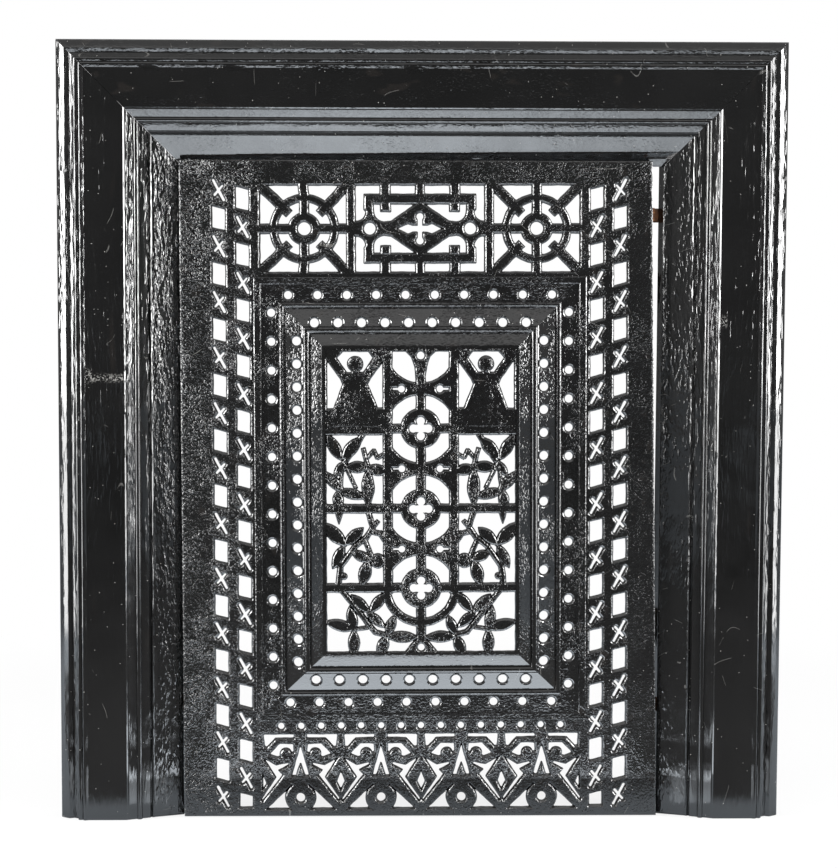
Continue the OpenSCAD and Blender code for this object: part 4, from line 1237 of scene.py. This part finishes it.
def enamel(name, stretch, size=1.0, pits=0.5, depth=1.0, scratches=0.3, scuffs=(),
           roughness=(0.07, 0.14), patches=(0.45, 1.5), bevel=None):
    """Black glossy enamel over the grain of cast iron: the pits hold soot, scratches and scuffs are pale,
    and pale specks are painted highlights standing in for glints. The bump is the grain's height, in mm,
    times how rough each point is cast.
    Where a bevel is given, as a distance from the middle in metres and a stretch, the grain nearer
    the middle than that has that stretch."""
    finish = bpy.context.scene.fireplace_finishes
    material, k, surface, place = new_material(name)
    shader = k.add("ShaderNodeBsdfPrincipled")
    k.put(shader.outputs[0], surface)

    def grain_stretched(by):
        """The cast grain on coordinates multiplied by a stretch along each axis."""
        return use_group(k, cast_grain_group, Vector=k.mapping(place, by), Grain_size=size,
                         Grains=finish.grain, Lumps=0.8, Pits=pits, Calm=patches[0], Wild=patches[1])

    grain = grain_stretched(stretch)
    height = grain.outputs["Height"]
    if bevel:
        line, own_stretch = bevel
        own = grain_stretched(own_stretch).outputs["Height"]
        inside = k.ramp(k.maths("ABSOLUTE", k.parts(place)["X"]), line + SEAM, line - SEAM)
        height = k.maths("ADD", k.maths("MULTIPLY", height, k.maths("SUBTRACT", 1.0, inside)),
                         k.maths("MULTIPLY", own, inside))
    mask = use_group(k, scratches_and_glints_group, Vector=place, Amount=scratches).outputs["Mask"]
    dark = tuple(finish.enamel) + (1.0,)
    pale = tuple(min(1.0, 2.3 * c + 0.004) for c in finish.enamel) + (1.0,)
    base = k.mix(k.ramp(k.noise(place, 9.0, 3.0, 0.6), 0.3, 0.8, 0.0, 0.4), dark, pale)
    base = k.mix(k.maths("MULTIPLY", grain.outputs["Pits"], 0.5), base, SOOT)
    if scuffs:
        spot = k.parts(place)
        speckle = k.ramp(k.noise(place, 700.0, 2.0, 0.6), 0.5, 0.62)
        for x, z, wide, high in scuffs:
            across = k.ramp(k.maths("ABSOLUTE", k.maths("SUBTRACT", spot["X"], x)), wide, 0.7 * wide)
            up = k.ramp(k.maths("ABSOLUTE", k.maths("SUBTRACT", spot["Z"], z)), high, 0.0)
            scuff = k.maths("MULTIPLY", k.maths("MULTIPLY", across, up), speckle)
            mask = k.maths("MAXIMUM", mask, scuff)
    # Pale marks: real scratches and scuffs, and the specks painted as highlights
    k.put(k.mix(mask, base, CHALK_AND_GLINT), shader.inputs["Base Color"])
    shine = k.ramp(k.noise(place, 90.0, 3.0, 0.6), 0.3, 0.7, *roughness)
    k.put(k.maths("ADD", shine, k.maths("MULTIPLY", mask, 0.25)), shader.inputs["Roughness"])
    shader.inputs["IOR"].default_value = 2.0
    rough = k.add("ShaderNodeAttribute", attribute_name="roughcast")
    k.bump(shader, k.maths("MULTIPLY", height, rough.outputs["Fac"]), depth)
    return material


def rusty(name, colour, metal):
    """Steel with flaking rust: patches of the colour over a darker shade, with brighter specks."""
    material, k, surface, place = new_material(name)
    shader = k.add("ShaderNodeBsdfPrincipled")
    k.put(shader.outputs[0], surface)
    grain = use_group(k, cast_grain_group, Vector=place, Grain_size=1.2, Lumps=0.5, Pits=0.6)
    patches = k.ramp(k.noise(place, 120.0, 4.0, 0.65), 0.38, 0.62)
    dark = tuple(0.35 * c for c in colour) + (1.0,)
    bright = (min(1, colour[0] * 1.9), colour[1] * 1.7, colour[2] * 1.2, 1)
    base = k.mix(patches, dark, tuple(colour) + (1.0,))
    base = k.mix(k.ramp(k.noise(place, 300.0, 3.0, 0.6), 0.5, 0.68), base, bright)
    k.put(base, shader.inputs["Base Color"])
    k.put(k.ramp(patches, 0, 1, 0.55, 0.85), shader.inputs["Roughness"])
    shader.inputs["Metallic"].default_value = metal
    k.bump(shader, grain.outputs["Height"], 0.25)
    return material


# Places where the enamel is scuffed: middle across and up, half width and half height, in metres
JAMB_SCUFFS = ((-0.313, 0.443, 0.022, 0.006), (-0.331, 0.446, 0.004, 0.011),
               (0.297, 0.50, 0.006, 0.008))
# Each enamel: its grain's stretch along X, Y and Z, where a smaller number draws the grain out
# more, and what differs from the usual
ENAMELS = {
    "enamel_header": {"stretch": (0.5, 1, 1), "size": 0.9, "pits": 0.3},
    "enamel_jamb": {"stretch": (1, 1, 0.16), "size": 0.6, "depth": 1.45, "scuffs": JAMB_SCUFFS,
                    "bevel": (0.268, (1, 1, 0.33))},
    "enamel_plate": {"stretch": (1, 1, 0.9), "depth": 0.8, "scratches": 0.4,
                     "roughness": (0.1, 0.17), "patches": (0.7, 1.3)},
    "enamel_panel": {"stretch": (1, 1, 0.6), "size": 0.9, "pits": 0.4, "depth": 0.9,
                     "roughness": (0.04, 0.09)},
    "enamel_rail": {"stretch": (0.6, 1, 1), "size": 0.9, "pits": 0.3},
}
# Plain iron and rusty steel: which of the user's colours, and how metallic
STEELS = {"blacked_iron": ("iron", 0.5), "rusty_steel": ("rust", 0.25)}
MATERIALS = {}


def finish_of(name):
    """A material by name, made the first time it is asked for."""
    if name not in MATERIALS:
        if name in ENAMELS:
            MATERIALS[name] = enamel(name, **ENAMELS[name])
        else:
            colour, metal = STEELS[name]
            MATERIALS[name] = rusty(name, getattr(bpy.context.scene.fireplace_finishes, colour), metal)
    return MATERIALS[name]


# ---------- operators ----------

class FIREPLACE_OT_surround(Operator):
    """Builds the header and the two jambs"""
    bl_idname = "fireplace.surround"
    bl_label = "Surround"

    def execute(self, context):
        sizes = context.scene.fireplace_surround
        for name, node, (points, triangles) in surround_meshes():
            if node == "header":
                finish = "enamel_header"
                grain = np.interp(sizes.height / MM - points[:, 2], *HEADER_GRAIN)
            else:
                finish = "enamel_jamb"
                inward = sizes.width / MM / 2 - np.abs(points[:, 0])
                grain = np.interp(inward, *(LEFT_GRAIN if node == "left_jamb" else RIGHT_GRAIN))
                grain *= np.interp(points[:, 2], *JAMB_HEIGHT_GRAIN)
            make_piece(name, points, triangles, finish, "surround", node, grain)
        return {"FINISHED"}


class FIREPLACE_OT_cover_plate(Operator):
    """Builds the pierced cover plate and its pivot bosses"""
    bl_idname = "fireplace.cover_plate"
    bl_label = "Cover plate"

    def execute(self, context):
        names = ("cover_left_band", "cover_right_band", "cover_frieze", "cover_cresting")
        step = context.scene.fireplace_cover.mesh_step / MM
        for name, (points, triangles) in zip(names, cover_meshes(step)):
            grain = np.interp(points[:, 0], *PLATE_GRAIN) * np.interp(points[:, 2], *PLATE_TOP_GRAIN)
            make_piece(name, points, triangles, "enamel_plate", "cover", "cover_plate", grain)
        u, v = np.repeat((-PIVOT_U, PIVOT_U), 2), np.tile(PIVOT_V, 2)
        centres = stand(u, v, np.zeros(4))[:, [0, 2]]
        bosses = [collar(round_outline(at, 7), round_outline(at, 3.0), PIVOT_FOOT, PIVOT_END)
                  for at in centres]
        make_piece("cover_bosses", *merged(bosses), "enamel_plate", "cover", "cover_plate")
        return {"FINISHED"}


class FIREPLACE_OT_centre_panel(Operator):
    """Builds the panel's moulding and its lattice"""
    bl_idname = "fireplace.centre_panel"
    bl_label = "Centre panel"

    def execute(self, context):
        step = context.scene.fireplace_cover.mesh_step / MM
        for name, (points, triangles) in panel_meshes(MOULDING_STEP * step):
            finish = "enamel_rail" if name in ("lower", "upper") else "enamel_panel"
            u, v = points[:, 0] - COVER_X, points[:, 2] - (PANEL_LOW + PANEL_HIGH) / 2
            inward = np.minimum(PANEL_HALF - np.abs(u + v * PANEL_LEAN),
                                (PANEL_HIGH - PANEL_LOW) / 2 - np.abs(v))
            grain = np.interp(inward, PANEL_GRAIN_AT, PANEL_GRAIN[name])
            make_piece(f"panel_moulding_{name}", points, triangles, finish, "cover", "centre_panel", grain)
        names = ("lattice_lower", "lattice_upper")
        for name, (points, triangles) in zip(names, lattice_meshes(LATTICE_STEP * step)):
            make_piece(name, points, triangles, "enamel_panel", "cover", "centre_panel")
        return {"FINISHED"}


class FIREPLACE_OT_ironmongery(Operator):
    """Gives the plates, clips, buttons, screws and washers behind their finish"""
    bl_idname = "fireplace.ironmongery"
    bl_label = "Plates, clips and screws"

    def execute(self, context):
        castings = ("header", "left_jamb", "right_jamb", "cover_plate", "centre_panel")
        for name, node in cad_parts.items():
            if name in castings:
                continue
            plain = name.endswith(("corner_plate", "turn_button"))
            finish = finish_of("blacked_iron" if plain else "rusty_steel")
            if not node.data.materials:
                node.data.materials.append(finish)
            for slot in node.material_slots:
                slot.material = finish
        return {"FINISHED"}


# ---------- the studio, in metres ----------

# The floor: half its width, how far below the feet it lies, how white it is to the camera close
# by, and between which distances it turns wholly white
FLOOR_HALF, FLOOR_DROP, FLOOR_WHITE = 6, 0.0005, 0.82
FLOOR_FAR = (0.5, 1.3)
# The floor as the iron mirrors it: grey, turning paler between these distances to either side, and
# between these places in front of the object
FLOOR_GREY = (0.1, 0.1, 0.1, 1)
FLOOR_PALE = (0.5, 0.55, 0.6, 1)
FLOOR_ASIDE = (1.0, 1.3)
FLOOR_CLOSE = (-0.13, -0.07)
# The room's light at the sides, above and straight up
ROOM_SIDE, ROOM_TOP, ROOM_ZENITH = 0.15, 0.6, 0.25
# The side lamps: name, angle from straight ahead in degrees, distance, width and share of the
# brightness. Each has a dimmer lower part: heights of its foot, step and top, and that part's share
SIDE_LAMPS = (("left_lamp", -73, 1.5, 0.5, 1.2), ("right_lamp", 75.5, 1.5, 0.46, 1.2),
              ("left_strip", -43.5, 2.2, 0.10, 1.0), ("right_strip", 42, 2.2, 0.12, 1.4))
LAMP_FOOT, LAMP_STEP, LAMP_TOP = 0.01, 0.36, 1.51
LAMP_LOW = 0.4
# The low lamps: strips on the floor before the hearth, from the nearest to the farthest. The open
# ones face up and a little away; the others have grids that aim their light at the header's height
LOW_STRIPS, LOW_OPEN = 7, 2
LOW_NEAREST, LOW_PITCH, LOW_Z = 0.095, 0.14, 0.015
# Width and share of the brightness of an open one and of one with a grid
LOW_WIDTHS = (0.46, 2.2)
LOW_SHARES = (1, 1.15)
# How far the open ones tilt away, how high the others aim, and how far from that a grid lets through
LOW_TILT, LOW_AIM = 0.25, 0.665
LOW_CONE = math.radians(20)
LOW_COLOUR = (0.93, 1.0, 1.07)
# Small lamps near the jambs' feet: how far in, forward and up, their size, aim, share and angle
FOOT_IN, FOOT_FORWARD, FOOT_Z = 0.1, 0.075, 0.018
FOOT_SIZE = (0.1, 0.033)
FOOT_AIM = (1.04, 0.25)
FOOT_SHARE = 0.4
FOOT_CONE = math.radians(28)
# The camera: focal length in pixels of the photograph, its height in pixels, place and turn
FOCAL, FRAME_HIGH = 2100.35, 868
CAMERA_PLACE = (-0.04528, -2.1, 0.51891)
PITCH, YAW, ROLL = 0.0628, 0.0199, -0.0022


def lamp(name, place, aim, size, brightness, colour=(1, 1, 1), cone=None):
    """A soft rectangular lamp that faces along a direction and isn't seen itself. A grid can keep
    its light within an angle of that direction; its brightness straight ahead stays the same."""
    data = bpy.data.lights.new(name, "AREA")
    data.shape = "RECTANGLE"
    data.size, data.size_y = size
    data.energy = brightness * math.pi * size[0] * size[1]
    if cone:
        data.spread = 2 * cone
        data.energy *= 1 - cone / math.tan(cone)
    data.color = colour
    item = bpy.data.objects.new(name, data)
    bpy.context.scene.collection.objects.link(item)
    item.location = place
    item.rotation_mode = "QUATERNION"
    item.rotation_quaternion = Vector(aim).to_track_quat("-Z", "Y")
    item.visible_camera = False


def floor_material(colour):
    """A pale floor: nearly white as the camera sees it, with the object's shadow kept, and grey in
    the iron's reflections."""
    material, k, surface, place = new_material("studio_floor")
    plain = k.add("ShaderNodeBsdfDiffuse")
    white = k.add("ShaderNodeEmission")
    seen = k.add("ShaderNodeLightPath").outputs["Is Camera Ray"]
    spot = k.parts(place)
    aside = k.ramp(k.maths("ABSOLUTE", spot["X"]), *FLOOR_ASIDE)
    close = k.ramp(spot["Y"], *FLOOR_CLOSE)
    mirrored_floor = k.mix(k.maths("MAXIMUM", aside, close), FLOOR_GREY, FLOOR_PALE)
    k.put(k.mix(seen, mirrored_floor, tuple(colour) + (1.0,)), plain.inputs["Color"])
    away = k.add("ShaderNodeVectorMath", operation="LENGTH")
    k.put(place, away.inputs[0])
    whiteness = k.ramp(away.outputs["Value"], *FLOOR_FAR, FLOOR_WHITE, 1.0)
    k.blend(k.maths("MULTIPLY", seen, whiteness), plain, white, surface)
    return material


def studio_world(room):
    """A dim room, darker straight ahead than at the sides and above; white as the camera sees it."""
    world = bpy.data.worlds.new("studio")
    world.use_nodes = True
    k = Nodes(world.node_tree)
    k.tree.nodes.clear()
    sky, white = k.add("ShaderNodeBackground"), k.add("ShaderNodeBackground")
    way = k.parts(k.add("ShaderNodeTexCoord").outputs["Generated"])
    aside = k.ramp(k.maths("ABSOLUTE", way["X"]), 0.3, 0.75, 0.0, ROOM_SIDE)
    above = k.ramp(way["Z"], 0.35, 0.8, 0.0, ROOM_TOP)
    zenith = k.ramp(way["Z"], 0.86, 0.96, 0.0, ROOM_TOP - ROOM_ZENITH)
    above = k.maths("SUBTRACT", above, zenith)
    k.put(k.maths("ADD", k.maths("MAXIMUM", aside, above), room), sky.inputs["Strength"])
    k.put(WHITE, sky.inputs["Color"])
    k.put(WHITE, white.inputs["Color"])
    seen = k.add("ShaderNodeLightPath").outputs["Is Camera Ray"]
    k.blend(seen, sky, white, k.add("ShaderNodeOutputWorld").inputs["Surface"])
    return world


def camera_matrix():
    """The camera's place and its turn: yaw, then pitch down, then roll."""
    cy, sy = math.cos(YAW), math.sin(YAW)
    cp, sp = math.cos(PITCH), math.sin(PITCH)
    cr, sr = math.cos(ROLL), math.sin(ROLL)
    yaw = np.array([[cy, -sy, 0], [sy, cy, 0], [0, 0, 1]])
    pitch = np.array([[1, 0, 0], [0, cp, -sp], [0, sp, cp]])
    roll = np.array([[cr, 0, -sr], [0, 1, 0], [sr, 0, cr]])
    right, forward, up = roll @ pitch @ yaw
    axes = np.column_stack([right, up, -forward])
    matrix = Matrix([list(row) + [0.0] for row in axes.tolist()] + [[0, 0, 0, 1]])
    matrix.translation = CAMERA_PLACE
    return matrix


class FIREPLACE_OT_stage(Operator):
    """Builds the floor, the lamps, the world and the camera"""
    bl_idname = "fireplace.stage"
    bl_label = "Stage"

    def execute(self, context):
        scene = context.scene
        studio = scene.fireplace_studio
        mesh = bpy.data.meshes.new("studio_floor")
        corners = [(x * FLOOR_HALF, y * FLOOR_HALF, -FLOOR_DROP)
                   for x, y in ((-1, -1), (1, -1), (1, 1), (-1, 1))]
        mesh.from_pydata(corners, [], [(0, 1, 2, 3)])
        mesh.materials.append(floor_material(studio.floor))
        floor = bpy.data.objects.new("studio_floor", mesh)
        scene.collection.objects.link(floor)
        for i in range(LOW_STRIPS):
            away = LOW_NEAREST + LOW_PITCH * i
            gridded = i >= LOW_OPEN
            lamp(f"low_lamp_{i}", (0, -away, LOW_Z), (0, away, LOW_AIM) if gridded else (0, -LOW_TILT, 1),
                 (LOW_WIDTHS[gridded], 0.96 * LOW_PITCH), LOW_SHARES[gridded] * studio.front_lamps,
                 LOW_COLOUR, LOW_CONE if gridded else None)
        for name, angle, distance, width, share in SIDE_LAMPS:
            angle = math.radians(angle)
            x, y = distance * math.sin(angle), -distance * math.cos(angle)
            for part, low, high, dim in (("_low", LAMP_FOOT, LAMP_STEP, LAMP_LOW),
                                         ("", LAMP_STEP, LAMP_TOP, 1)):
                lamp(name + part, (x, y, (low + high) / 2), (-x, -y, 0), (width, high - low),
                     dim * share * studio.side_lamps)
        half = scene.fireplace_surround.width / 2
        for side, name in ((-1, "foot_lamp_left"), (1, "foot_lamp_right")):
            lamp(name, (side * (half - FOOT_IN), -FOOT_FORWARD, FOOT_Z), (side, *FOOT_AIM), FOOT_SIZE,
                 FOOT_SHARE * studio.front_lamps, LOW_COLOUR, FOOT_CONE)
        scene.world = studio_world(studio.room)
        scene.view_settings.view_transform = "Standard"
        data = bpy.data.cameras.new("camera")
        data.sensor_width = 36.0
        data.lens = FOCAL / FRAME_HIGH * data.sensor_width
        camera = bpy.data.objects.new("camera", data)
        scene.collection.objects.link(camera)
        camera.matrix_world = camera_matrix()
        scene.camera = camera
        return {"FINISHED"}


# ---------- the sidebar ----------

class FIREPLACE_PT_pieces(Panel):
    """The fireplace's pieces and their sizes"""
    bl_label = "Cast iron fireplace"
    bl_idname = "FIREPLACE_PT_pieces"
    bl_space_type = "VIEW_3D"
    bl_region_type = "UI"
    bl_category = "Fireplace"

    def draw(self, context):
        for operator in OPERATORS:
            self.layout.operator(operator.bl_idname)
        for store, _ in STORES:
            settings = getattr(context.scene, store)
            for key in settings.__annotations__:
                self.layout.prop(settings, key)


OPERATORS = (FIREPLACE_OT_surround, FIREPLACE_OT_cover_plate, FIREPLACE_OT_centre_panel,
             FIREPLACE_OT_ironmongery, FIREPLACE_OT_stage)
STORES = (("fireplace_surround", SurroundSizes), ("fireplace_cover", CoverSizes),
          ("fireplace_finishes", Finishes), ("fireplace_studio", Studio))


def register():
    """Adds the sizes, the operators and the panel to Blender."""
    for store, kind in STORES:
        bpy.utils.register_class(kind)
        setattr(bpy.types.Scene, store, PointerProperty(type=kind))
    for kind in OPERATORS + (FIREPLACE_PT_pieces,):
        bpy.utils.register_class(kind)


def unregister():
    """Removes the panel, the operators and the sizes from Blender."""
    for kind in (FIREPLACE_PT_pieces,) + OPERATORS[::-1]:
        bpy.utils.unregister_class(kind)
    for store, kind in STORES[::-1]:
        delattr(bpy.types.Scene, store)
        bpy.utils.unregister_class(kind)


def main():
    """Builds everything in order."""
    register()
    bpy.ops.fireplace.surround()
    bpy.ops.fireplace.cover_plate()
    bpy.ops.fireplace.centre_panel()
    bpy.ops.fireplace.ironmongery()
    bpy.ops.fireplace.stage()


if __name__ == "__main__":
    main()
